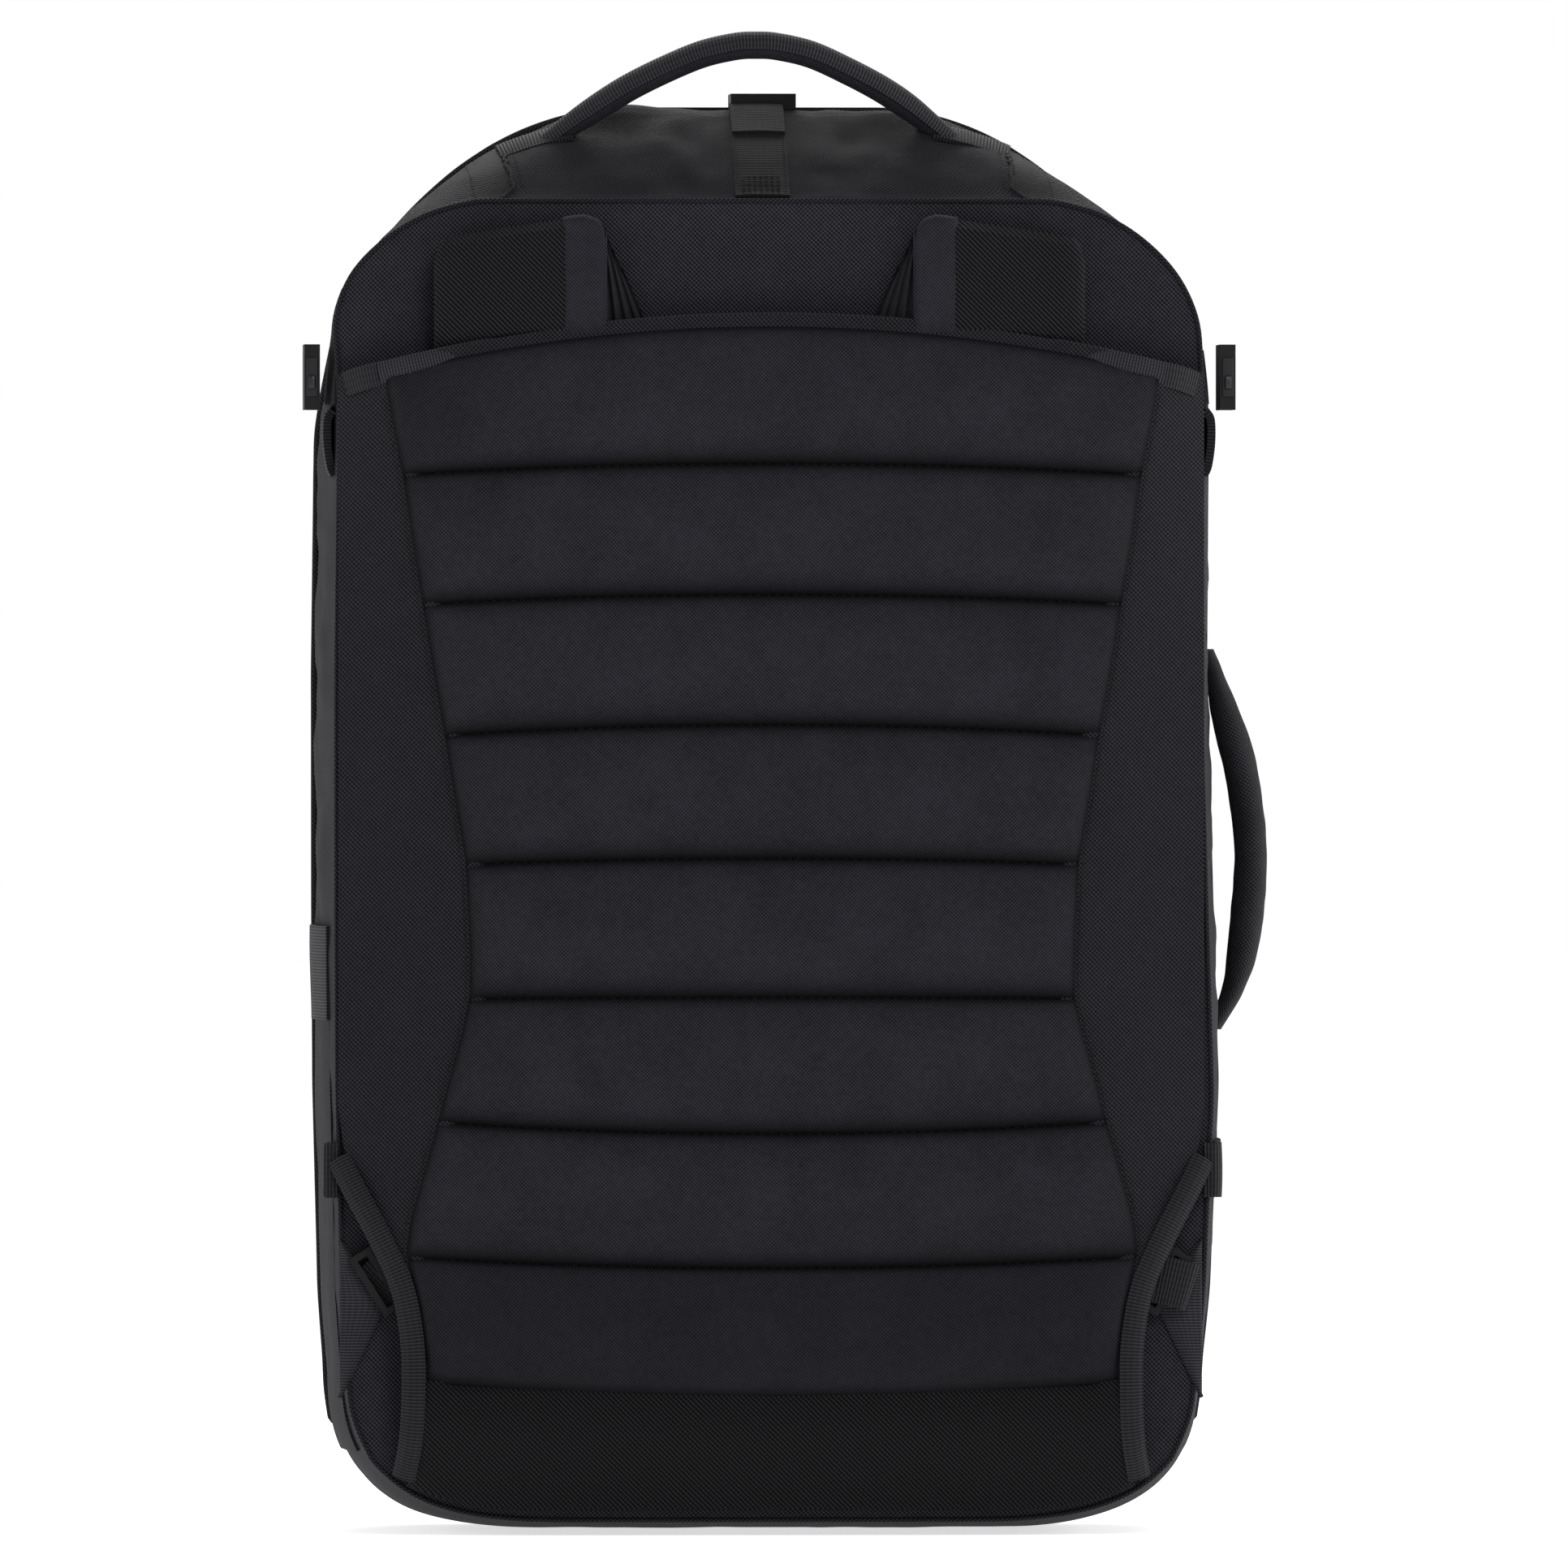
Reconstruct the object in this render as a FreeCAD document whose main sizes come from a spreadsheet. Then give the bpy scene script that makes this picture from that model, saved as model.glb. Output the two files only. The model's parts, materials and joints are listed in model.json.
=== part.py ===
import FreeCAD, Part
import math
import os
import Sketcher

# A cabin-size travel pack that opens like a suitcase.  The wearer's side faces -Y, the lid faces +Y,
# +X is to the right as the wearer's side is seen, +Z is up, and the origin lies under the flat bottom.

DIMENSIONS = {
    # depth positions of the outline stations, from the rear seam to the front edge
    "y_rear": -84, "y_shoulder": -50, "y_ridge": -5, "y_zip": 30, "y_mid_lid": 60, "y_front": 84,
    # half widths, heights and corner radii of the pack at those stations
    "half_rear": 165.5, "half_shoulder": 169, "half_ridge": 171.5, "half_mid_lid": 169, "half_front": 160,
    "low_rear": 6, "low_front": 8,
    "high_rear": 507, "high_shoulder": 526, "high_ridge": 544, "high_zip": 539,
    "high_mid_lid": 531, "high_front": 518,
    "foot_rear": 52, "foot_mid": 60, "crown_rear": 55, "crown_shoulder": 85, "crown_ridge": 115,
    "crown_mid_lid": 105, "crown_front": 95,
    # fabric build-up
    "wall": 3, "webbing_thick": 1.5, "hem_thick": 3, "webbing_wide": 20.8, "gap": 0.3,
    "skin": 2.5, "foam": 4.5, "sheet": 2,
    "panel_seam_x": 98, "lid_seam_z": 30,
    # stow panel over the wearer's side
    "panel_inner_y": -98, "panel_edge_y": -87.3, "panel_thick": 3, "panel_edge_x": 163,
    "panel_bend_x": 146, "panel_top": 466, "panel_top_side": 444, "arch_radius": 620,
    "cutout_top": 142, "cutout_x": 140.5, "cutout_bottom": 72, "binding": 9, "binding_tall": 8.5,
    # quilted pad
    "pad_thick": 8, "pad_top_half": 147, "pad_waist_half": 115, "pad_hip_half": 140,
    "pad_foot_half": 136, "pad_waist_z": 210, "pad_hip_z": 110, "pad_foot_z": 54, "pad_head_z": 440,
    "first_channel": 408.6, "channel_pitch": 51, "channel_wide": 3, "channel_deep": 4,
    # shoulder straps, stowed in the sleeve behind the panel
    "strap_in": 62, "strap_out": 128, "strap_low": 112, "strap_high": 500,
    "strap_back_y": -91, "strap_face_y": -97.6, "stub_face_y": -104, "stub_low": 469,
    # top handle, in its own frame above its pivot
    "handle_y": -30, "handle_z": 537.4, "handle_lean": 10, "handle_wide": 20, "handle_half_span": 78,
    "handle_rise": 35.5, "handle_thick": 11, "handle_clear": 2,
    # side handle
    "grip_y": -10, "grip_wide": 24, "grip_low": 196, "grip_high": 334, "grip_x": 175.2,
    "grip_radius": 177, "grip_inner_radius": 400, "grip_pad": 22,
    # side straps
    "side_strap_z": 442, "lower_strap_z": 141, "bottle_rear": -66,
    # side-release buckles
    "buckle_wide": 25, "buckle_thick": 6, "buckle_wall": 1, "socket_long": 20, "tongue_wide": 16,
    "tongue_long": 14, "bar_long": 13, "side_buckle_x": 172.1, "side_buckle_y": -76,
    "top_buckle_z": 545.6, "top_buckle_y": 0,
    # main zip
    "tape": 12, "slider_x": 15, "slider_long": 12, "slider_wide": 10, "slider_tall": 3.4,
    "slider_z": 541.6, "puller_long": 30, "puller_wide": 6, "puller_thick": 1.8,
    # front pocket on the lid
    "pocket_half": 125, "pocket_low": 46, "pocket_high": 404, "pocket_radius": 30,
    "pocket_deep": 14, "pocket_skin": 2, "pocket_zip_z": 372, "pocket_zip_half": 108, "pocket_gap": 6,
    # lower strap attachments, placed by the middle of each wing's inner edge
    "wing_x": 154.5, "wing_z": 94, "wing_turn": 32.5, "lock_wide": 26, "lock_long": 17, "lock_thick": 4,
}

doc = FreeCAD.newDocument("travel_pack")
sheet = doc.addObject("Spreadsheet::Sheet", "sizes")


class Size:
    """A length that carries its value and the sheet expression that gives it."""

    def __init__(self, value, text):
        self.value = value
        self.text = text

    def __add__(self, other):
        other = as_size(other)
        return Size(self.value + other.value, f"({self.text} + {other.text})")

    def __sub__(self, other):
        other = as_size(other)
        return Size(self.value - other.value, f"({self.text} - {other.text})")

    def __mul__(self, other):
        other = as_size(other)
        return Size(self.value * other.value, f"({self.text} * {other.text})")

    def __truediv__(self, other):
        other = as_size(other)
        return Size(self.value / other.value, f"({self.text} / {other.text})")

    def __radd__(self, other):
        return as_size(other) + self

    def __rsub__(self, other):
        return as_size(other) - self

    def __rmul__(self, other):
        return as_size(other) * self

    def __neg__(self):
        return Size(-self.value, f"(0 - {self.text})")


def as_size(number):
    return number if isinstance(number, Size) else Size(float(number), f"({number:g})")


def fill_sheet():
    """Write every driving dimension to the sheet and return them as named sizes."""
    named = {}
    for row, (alias, value) in enumerate(DIMENSIONS.items(), start=1):
        sheet.set(f"A{row}", alias.replace("_", " "))
        sheet.set(f"B{row}", str(value))
        sheet.setAlias(f"B{row}", alias)
        named[alias] = Size(float(value), f"sizes.{alias}")
    doc.recompute()
    return named


d = fill_sheet()


# ---- building helpers -------------------------------------------------------------------------

def bind(item, prop, size):
    item.setExpression(prop, as_size(size).text)


def labelled(kind, name):
    item = doc.addObject(kind, name)
    item.Label = name
    return item


def block(name, x, y, z):
    """A box between two sizes along each axis."""
    item = labelled("Part::Box", name)
    for prop, (low, high) in zip(("Length", "Width", "Height"), (x, y, z)):
        bind(item, prop, as_size(high) - low)
    for axis, (low, _) in zip("xyz", (x, y, z)):
        bind(item, f"Placement.Base.{axis}", low)
    return item


def cut(name, base, tool):
    item = labelled("Part::Cut", name)
    item.Base = base
    item.Tool = tool
    return item


def common(name, *shapes):
    item = labelled("Part::MultiCommon", name)
    item.Shapes = list(shapes)
    return item


def fuse(name, *shapes):
    item = labelled("Part::MultiFuse", name)
    item.Shapes = list(shapes)
    return item


def mirror(name, source):
    """The same piece on the other side of the pack."""
    item = labelled("Part::Mirroring", name)
    item.Source = source
    item.Normal = (1, 0, 0)
    return item


def new_sketch(body, role, name, station):
    """A sketch on one of the body's own planes, moved to a station along that plane's axis."""
    plane = next(part for part in body.Origin.OriginFeatures if part.Role == role)
    sketch = body.newObject("Sketcher::SketchObject", name)
    sketch.AttachmentSupport = (plane, [""])
    sketch.MapMode = "FlatFace"
    bind(sketch, "AttachmentOffset.Base.z", -station if role == "XZ_Plane" else station)
    return sketch


def dimension(sketch, kind, size, *where):
    """Add one dimensional constraint and bind it to the sheet."""
    size = as_size(size)
    index = sketch.addConstraint(Sketcher.Constraint(kind, *where, size.value))
    sketch.setExpression(f"Constraints[{index}]", size.text)


def pin_point(sketch, edge, end, x, y):
    """Hold an edge's end at (x, y) from the sketch's origin."""
    for kind, axis, size in (("DistanceX", -2, as_size(x)), ("DistanceY", -1, as_size(y))):
        if abs(size.value) < 1e-9:
            sketch.addConstraint(Sketcher.Constraint("PointOnObject", edge, end, axis))
        else:
            dimension(sketch, kind, size, -1, 1, edge, end)


def rounded_outline(body, name, station, half, low, high, foot, crown):
    """A closed outline, level with the floor, with one radius at its foot and one at its crown."""
    sketch = new_sketch(body, "XZ_Plane", name, station)
    w, b, t = half.value, low.value, high.value
    f, c = foot.value, crown.value
    vector = FreeCAD.Vector
    normal = vector(0, 0, 1)
    corners = [(w - f, b + f, f, -90), (w - c, t - c, c, 0), (c - w, t - c, c, 90), (f - w, b + f, f, 180)]
    ends = [((f - w, b), (w - f, b)), ((w, b + f), (w, t - c)), ((w - c, t), (c - w, t)), ((-w, t - c), (-w, b + f))]
    for (start, end), (cx, cz, radius, angle) in zip(ends, corners):
        sketch.addGeometry(Part.LineSegment(vector(*start, 0), vector(*end, 0)))
        circle = Part.Circle(vector(cx, cz, 0), normal, radius)
        sketch.addGeometry(Part.ArcOfCircle(circle, math.radians(angle), math.radians(angle + 90)))
    for edge in range(8):
        sketch.addConstraint(Sketcher.Constraint("Tangent", edge, 2, (edge + 1) % 8, 1))
    for edge in (0, 4):
        sketch.addConstraint(Sketcher.Constraint("Horizontal", edge))
        sketch.addConstraint(Sketcher.Constraint("Vertical", edge + 2))
    dimension(sketch, "DistanceX", half, -1, 1, 2, 1)
    dimension(sketch, "DistanceX", -half, -1, 1, 6, 1)
    dimension(sketch, "DistanceY", low, -1, 1, 0, 1)
    dimension(sketch, "DistanceY", high, -1, 1, 4, 1)
    dimension(sketch, "Radius", foot, 1)
    dimension(sketch, "Radius", crown, 3)
    sketch.addConstraint(Sketcher.Constraint("Equal", 1, 7))
    sketch.addConstraint(Sketcher.Constraint("Equal", 3, 5))
    return sketch


def arc_between(start, end, radius):
    """The short arc from start to end; a positive radius bulges to the right of the way travelled."""
    (x1, y1), (x2, y2) = start, end
    span = math.hypot(x2 - x1, y2 - y1)
    reach = math.copysign(math.sqrt(radius * radius - span * span / 4), radius)
    cx = (x1 + x2) / 2 - (y2 - y1) / span * reach
    cy = (y1 + y2) / 2 + (x2 - x1) / span * reach
    circle = Part.Circle(FreeCAD.Vector(cx, cy, 0), FreeCAD.Vector(0, 0, 1), abs(radius))
    first = math.atan2(y1 - cy, x1 - cx)
    last = math.atan2(y2 - cy, x2 - cx)
    return Part.ArcOfCircle(circle, *((first, last) if radius > 0 else (last, first)))


def drawn_outline(body, role, name, station, points):
    """A closed outline through (x, y) points, anticlockwise; a third number makes the next edge an arc."""
    sketch = new_sketch(body, role, name, station)
    plain = [(as_size(p[0]).value, as_size(p[1]).value) for p in points]
    starts = []
    for index, point in enumerate(points):
        start, end = plain[index], plain[(index + 1) % len(plain)]
        radius = as_size(point[2]).value if len(point) > 2 else 0
        if radius:
            sketch.addGeometry(arc_between(start, end, radius))
        else:
            sketch.addGeometry(Part.LineSegment(FreeCAD.Vector(*start, 0), FreeCAD.Vector(*end, 0)))
        starts.append(2 if radius < 0 else 1)
    for edge, point in enumerate(points):
        following = (edge + 1) % len(points)
        sketch.addConstraint(Sketcher.Constraint("Coincident", edge, 3 - starts[edge], following, starts[following]))
        pin_point(sketch, edge, starts[edge], point[0], point[1])
        if len(point) > 2:
            radius = as_size(point[2])
            dimension(sketch, "Radius", radius if radius.value > 0 else -radius, edge)
    return sketch


def padded(body, sketch, length):
    pad = body.newObject("PartDesign::Pad", sketch.Name + "_pad")
    pad.Profile = sketch
    bind(pad, "Length", length)
    return body


def prism(name, role, points, low, high):
    """An outline drawn on one plane and padded from low to high along that plane's axis."""
    body = labelled("PartDesign::Body", name)
    station = high if role == "XZ_Plane" else low
    return padded(body, drawn_outline(body, role, name + "_outline", station, points), as_size(high) - low)


def plate(name, half, low, high, foot, crown, front, rear):
    """A rounded plate between two depth positions."""
    body = labelled("PartDesign::Body", name)
    outline = rounded_outline(body, name + "_outline", rear, half, low, high, foot, crown)
    return padded(body, outline, as_size(rear) - front)


def mirrored_points(right_side):
    """Close a right-hand run of points, listed upwards, with its mirror image."""
    left_side = []
    for index, point in enumerate(reversed(right_side)):
        left_side.append((-point[0], point[1]))
    return list(right_side) + left_side


# ---- the sewn box of the pack -------------------------------------------------------------------

STATIONS = (
    ("rear", d["y_rear"], d["half_rear"], d["low_rear"], d["high_rear"], d["foot_rear"], d["crown_rear"]),
    ("shoulder", d["y_shoulder"], d["half_shoulder"], as_size(0), d["high_shoulder"], d["foot_mid"],
     d["crown_shoulder"]),
    ("ridge", d["y_ridge"], d["half_ridge"], as_size(0), d["high_ridge"], d["foot_mid"], d["crown_ridge"]),
    ("zip", d["y_zip"], d["half_ridge"], as_size(0), d["high_zip"], d["foot_mid"], d["crown_ridge"]),
    ("mid_lid", d["y_mid_lid"], d["half_mid_lid"], as_size(0), d["high_mid_lid"], d["foot_mid"],
     d["crown_mid_lid"]),
    ("front", d["y_front"], d["half_front"], d["low_front"], d["high_front"], d["foot_rear"],
     d["crown_front"]),
)


def pack_form(name, outset):
    """The pack's outer form, grown or shrunk all round, lofted through its stations."""
    body = labelled("PartDesign::Body", name)
    outlines = []
    for station, y, half, low, high, foot, crown in STATIONS:
        outlines.append(rounded_outline(body, f"{name}_{station}", y, half + outset, low - outset,
                                        high + outset, foot + outset, crown + outset))
    loft = body.newObject("PartDesign::AdditiveLoft", name + "_loft")
    loft.Profile = outlines[0]
    loft.Sections = outlines[1:]
    loft.Ruled = True
    return body


def build_layers():
    """Tubes of fabric: the gusset itself, webbing lying on it, and a thicker hem lying on it."""
    outer = pack_form("outer_form", as_size(0))
    gusset = cut("gusset_tube", outer, pack_form("inner_form", -d["wall"]))
    webbing = cut("webbing_tube", pack_form("webbing_form", d["webbing_thick"]), outer)
    hem = cut("hem_tube", pack_form("hem_form", d["hem_thick"]), outer)
    return gusset, webbing, hem


def patch(name, tube, x, y, z):
    """The part of a fabric tube that lies inside a box."""
    return common(name, tube, block(name + "_limits", x, y, z))


REACH = 200
TALL = 600
gusset_tube, webbing_tube, hem_tube = build_layers()
pack_edge = d["y_zip"] - d["gap"]
lid_edge = d["y_zip"] + d["gap"]
seam_low = d["lid_seam_z"] - d["gap"]
seam_high = d["lid_seam_z"] + d["gap"]
lid_back = d["y_front"] - d["wall"]


def build_gussets():
    right = patch("side_gusset_right", gusset_tube, (d["panel_seam_x"], REACH), (-REACH, pack_edge),
                  (seam_low, TALL))
    lid_right = patch("lid_side_right", gusset_tube, (d["panel_seam_x"], REACH), (lid_edge, lid_back),
                      (seam_high, TALL))
    middle = (-d["panel_seam_x"], d["panel_seam_x"])
    return [
        right, mirror("side_gusset_left", right), lid_right, mirror("lid_side_left", lid_right),
        patch("top_gusset", gusset_tube, middle, (-REACH, pack_edge), (TALL / 2, TALL)),
        patch("lid_top", gusset_tube, middle, (lid_edge, lid_back), (TALL / 2, TALL)),
    ]


def build_bottom_and_front():
    """The bottom, with a lip across its front edge, and the lid's panel above the hinge seam."""
    face = plate("front_face", d["half_front"], d["low_front"], d["high_front"], d["foot_rear"],
                 d["crown_front"], lid_back, d["y_front"])
    whole = (-REACH, REACH)
    lip = common("front_lip", face, block("front_lip_limits", whole, whole, (-REACH, seam_low)))
    tray = patch("bottom_tray", gusset_tube, whole, (-REACH, lid_back), (-REACH, seam_low))
    return [
        fuse("bottom_gusset", tray, lip),
        common("lid_front_panel", face, block("lid_panel_limits", whole, whole, (seam_high, TALL))),
    ]


def inner_plate(name, inset, top_drop, front, rear):
    """A plate that fits inside the rear seam."""
    return plate(name, d["half_rear"] - inset, d["low_rear"] + inset, d["high_rear"] - inset - top_drop,
                 d["foot_rear"] - inset, d["crown_rear"] - inset, front, rear)


def build_back():
    skin_face = d["y_rear"] + d["skin"]
    foam_face = skin_face + d["foam"]
    fit = d["wall"] + d["gap"]
    laptop_room = 22
    divider_y = foam_face + d["sheet"] + laptop_room
    divider_top = 345
    return [
        inner_plate("back_wall", fit, 0, d["y_rear"], skin_face),
        inner_plate("back_foam", fit + 4, 0, skin_face, foam_face),
        inner_plate("frame_sheet", fit + 6, 0, foam_face, foam_face + d["sheet"]),
        block("laptop_divider", (-d["half_rear"] + 9, d["half_rear"] - 9), (divider_y, divider_y + d["sheet"]),
              (70, divider_top)),
        build_piping(),
    ]


def build_piping():
    """The piping cord round the rear seam."""
    proud, tucked, deep = 2.2, 2, 3
    outer = inner_plate("piping_outside", as_size(-proud), 0, d["y_rear"] - deep, d["y_rear"])
    inner = inner_plate("piping_inside", as_size(tucked), 0, d["y_rear"] - deep - 1, d["y_rear"] + 1)
    return cut("rear_piping", outer, inner)


# ---- stow panel ---------------------------------------------------------------------------------

def panel_layer(name, inner, outer):
    """A tall sheet bent like the stow panel, between two distances from its inner face."""
    edge, bend, top_z = d["panel_edge_x"], d["panel_bend_x"], 520
    edge_y, flat_y = d["panel_edge_y"], d["panel_inner_y"]
    points = [(-edge, edge_y - inner), (-edge, edge_y - outer), (-bend, flat_y - outer), (bend, flat_y - outer),
              (edge, edge_y - outer), (edge, edge_y - inner), (bend, flat_y - inner), (-bend, flat_y - inner)]
    return prism(name, "XY_Plane", points, 0, top_z)


def panel_points(drop):
    """The stow panel's outline, its arched top lowered by drop."""
    foot_z = 13
    right = [(d["cutout_x"] - 5, foot_z), (d["cutout_x"], d["cutout_bottom"]),
             (d["panel_edge_x"], d["cutout_top"]), (d["panel_edge_x"], d["panel_top_side"] - drop)]
    points = mirrored_points(right)
    points[3] = (*points[3], d["arch_radius"])
    return points


def build_stow_panel():
    deep = (-120, -80)
    sheet_layer = panel_layer("panel_sheet", as_size(0), d["panel_thick"])
    tape_layer = panel_layer("panel_tape", d["panel_thick"], d["panel_thick"] + 2)
    outline = prism("panel_blank", "XZ_Plane", panel_points(as_size(0)), *deep)
    lowered = prism("panel_lowered", "XZ_Plane", panel_points(d["binding_tall"]), *deep)
    tab_x = d["panel_bend_x"] + 3
    tape = cut("arch_tape", common("arch_tape_blank", tape_layer, outline), lowered)
    inside_tabs = block("between_tabs", (-tab_x, tab_x), deep, (0, TALL))
    tab = common("right_tab", tape_layer, block("tab_limits", (tab_x, REACH), deep, (433, 447)))
    return [
        common("stow_panel", sheet_layer, outline),
        common("panel_top_binding", tape, inside_tabs),
        fuse("binding_tabs", tab, mirror("left_tab", tab)),
        *build_corner_bindings(tape_layer, deep),
        build_pad(),
    ]


def build_corner_bindings(tape_layer, deep):
    """Tape along each lower cut-out of the stow panel."""
    wide = d["binding"]
    foot_z = 13
    low_z, high_z = d["cutout_bottom"], d["cutout_top"]
    x, edge = d["cutout_x"], d["panel_edge_x"]
    points = [(x - 5, foot_z), (x, low_z), (edge, high_z), (edge, high_z + wide * 2),
              (x - wide, low_z + 3), (x - 5 - wide, foot_z)]
    right = common("corner_binding_right", tape_layer, prism("corner_tape", "XZ_Plane", points, *deep))
    return [right, mirror("corner_binding_left", right)]


def build_pad():
    """The quilted pad: an hourglass of foam bars between sewn channels."""
    right = [(d["pad_foot_half"] - 6, d["pad_foot_z"]), (d["pad_hip_half"] - 9, d["pad_hip_z"]),
             (d["pad_waist_half"], d["pad_waist_z"]), (d["pad_top_half"] - 4, d["pad_head_z"] - 3)]
    points = mirrored_points(right)
    points[3] = (*points[3], d["arch_radius"])
    face = d["panel_inner_y"] - d["panel_thick"]
    pad = prism("pad_blank", "XZ_Plane", points, face - d["pad_thick"], face)
    channels = []
    for index in range(7):
        z = d["first_channel"] - index * d["channel_pitch"]
        channels.append(block(f"channel_{index}", (-REACH, REACH), (-REACH, face - d["pad_thick"] + d["channel_deep"]),
                              (z - d["channel_wide"] / 2, z + d["channel_wide"] / 2)))
    return cut("quilted_pad", pad, fuse("channels", *channels))


# ---- shoulder straps and their lower attachments ------------------------------------------------

def build_shoulder_straps():
    """Each strap hangs in the sleeve; its padded stub bends over above the stow panel."""
    back, face, stub = d["strap_back_y"], d["strap_face_y"], d["stub_face_y"]
    low, high, lip = d["strap_low"], d["strap_high"], d["stub_low"]
    crown = (back - stub) / 2
    points = [(back, low), (back, high - crown, crown * 1.02), (stub, high - crown), (stub, lip + 3),
              (face, lip), (face, low)]
    right = prism("shoulder_strap_right", "YZ_Plane", points, d["strap_in"], d["strap_out"])
    anchor = block("strap_anchor_right", (d["strap_in"] + 4, d["strap_out"] - 4),
                   (back + d["gap"], d["y_rear"]), (d["stub_low"] - 45, high - 6))
    return [right, mirror("shoulder_strap_left", right), anchor, mirror("strap_anchor_left", anchor)]


def turned(body, x, y, z, angle):
    """Place a body that was built at the origin, turned about the depth axis."""
    body.Placement = FreeCAD.Placement(FreeCAD.Vector(), FreeCAD.Rotation(FreeCAD.Vector(0, 1, 0), 0))
    for axis, size in zip("xyz", (x, y, z)):
        bind(body, f"Placement.Base.{axis}", size)
    bind(body, "Placement.Rotation.Angle", angle)
    return body


def frame_with_slots(name, half_wide, long, low, high):
    """A ladder lock: a flat frame with two slots for webbing."""
    body = prism(name, "XZ_Plane", [(0, -half_wide), (long, -half_wide), (long, half_wide), (0, half_wide)], low, high)
    bar, slot = 2.5, 4.2
    for index in range(2):
        start = bar + index * (slot + bar)
        points = [(start, -half_wide + bar), (start + slot, -half_wide + bar),
                  (start + slot, half_wide - bar), (start, half_wide - bar)]
        pocket = body.newObject("PartDesign::Pocket", f"{name}_slot_{index}")
        pocket.Profile = drawn_outline(body, "XZ_Plane", f"{name}_slot_outline_{index}", 0, points)
        pocket.Type = "ThroughAll"
        pocket.Midplane = True
    return body


def build_lower_attachments():
    """A sewn wing, a ladder lock that turns on its edge, and the webbing that runs on into the sleeve."""
    wing_y, wing_x, wing_z, turn = d["y_rear"], d["wing_x"], d["wing_z"], 180 + d["wing_turn"]
    wing = prism("strap_wing_right", "XZ_Plane", [(d["half_rear"] - 3, 60), (d["half_rear"] - 3, 114),
                                                  (d["wing_x"] + 1.5, 97), (d["wing_x"] + 3.5, 88)],
                 wing_y - 2, wing_y)
    half = d["lock_wide"] / 2
    lock = frame_with_slots("ladder_lock_right", half, d["lock_long"], -d["lock_thick"] / 2, d["lock_thick"] / 2)
    turned(lock, wing_x, wing_y - 4.3, wing_z, turn)
    web_half = d["webbing_wide"] / 2
    web = prism("lower_webbing_right", "XZ_Plane", [(18, -web_half), (52, -web_half), (52, web_half),
                                                    (18, web_half)], -0.8, 0.8)
    turned(web, wing_x, wing_y - 3, wing_z, turn)
    return [piece for right in (wing, lock, web)
            for piece in (right, mirror(right.Label.replace("right", "left"), right))]


# ---- handles ------------------------------------------------------------------------------------

def build_top_handle():
    """An arched grip on two flat ends sewn into the top."""
    span, rise, thick, clear = d["handle_half_span"], d["handle_rise"], d["handle_thick"], d["handle_clear"]
    crown, inner_crown = 62, 50
    right_outer = [(span - 9, clear), (span, clear + 2), (38, rise - 12)]
    right_inner = [(33, rise - thick - 11)]
    points = [right_outer[0], right_outer[1], (*right_outer[2], crown), (-right_outer[2][0], right_outer[2][1]),
              (-right_outer[1][0], right_outer[1][1]), (-right_outer[0][0], right_outer[0][1]),
              (-right_inner[0][0], right_inner[0][1], -inner_crown), right_inner[0]]
    half = d["handle_wide"] / 2
    arch = prism("handle_arch", "XZ_Plane", points, -half, half)
    foot, neck = 4, 16
    side = [(-foot, 0), (foot, 0), (half, neck), (half, rise + 10), (-half, rise + 10), (-half, neck)]
    grip = common("handle_grip", arch, prism("handle_side", "YZ_Plane", side, -span - 5, span + 5))
    base = patch("top_handle_end_right", webbing_tube, (60, d["panel_seam_x"]),
                 (d["handle_y"] - half, d["handle_y"] + half), (TALL / 2, TALL))
    return [leaned("top_handle", grip), base, mirror("top_handle_end_left", base)]


def leaned(name, source):
    """A copy of the grip, leaning back square to the slope of the top."""
    body = labelled("PartDesign::Body", name)
    copy = body.newObject("PartDesign::FeatureBase", name + "_base")
    copy.BaseFeature = source
    body.BaseFeature = source
    body.Placement = FreeCAD.Placement(FreeCAD.Vector(), FreeCAD.Rotation(FreeCAD.Vector(1, 0, 0), 0))
    bind(body, "Placement.Base.y", d["handle_y"])
    bind(body, "Placement.Base.z", d["handle_z"])
    bind(body, "Placement.Rotation.Angle", d["handle_lean"])
    return body


def build_side_handle():
    x, low, high, pad = d["grip_x"], d["grip_low"], d["grip_high"], d["grip_pad"]
    half = d["grip_wide"] / 2
    points = [(x, low), (x + 2.5, low, d["grip_radius"]), (x + 2.5, high), (x, high),
              (x, high - pad, -d["grip_inner_radius"]), (x, low + pad)]
    grip = prism("side_handle", "XZ_Plane", points, d["grip_y"] - half, d["grip_y"] + half)
    rib = 4
    ribs = [block(f"handle_rib_{index}", (d["half_ridge"], x - 1.3), (d["grip_y"] - rib, d["grip_y"] + rib),
                  (z, z + pad)) for index, z in enumerate((low, high - pad))]
    return [grip, cut("side_handle_anchors", fuse("handle_ribs", *ribs), doc.getObject("outer_form"))]


# ---- buckles and side straps ----------------------------------------------------------------------

def laid(top, across, along, out):
    """Axis ranges for a strap fitting: on the top it faces +Z, on the side it faces +X."""
    return (across, along, out) if top else (out, along, across)


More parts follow.
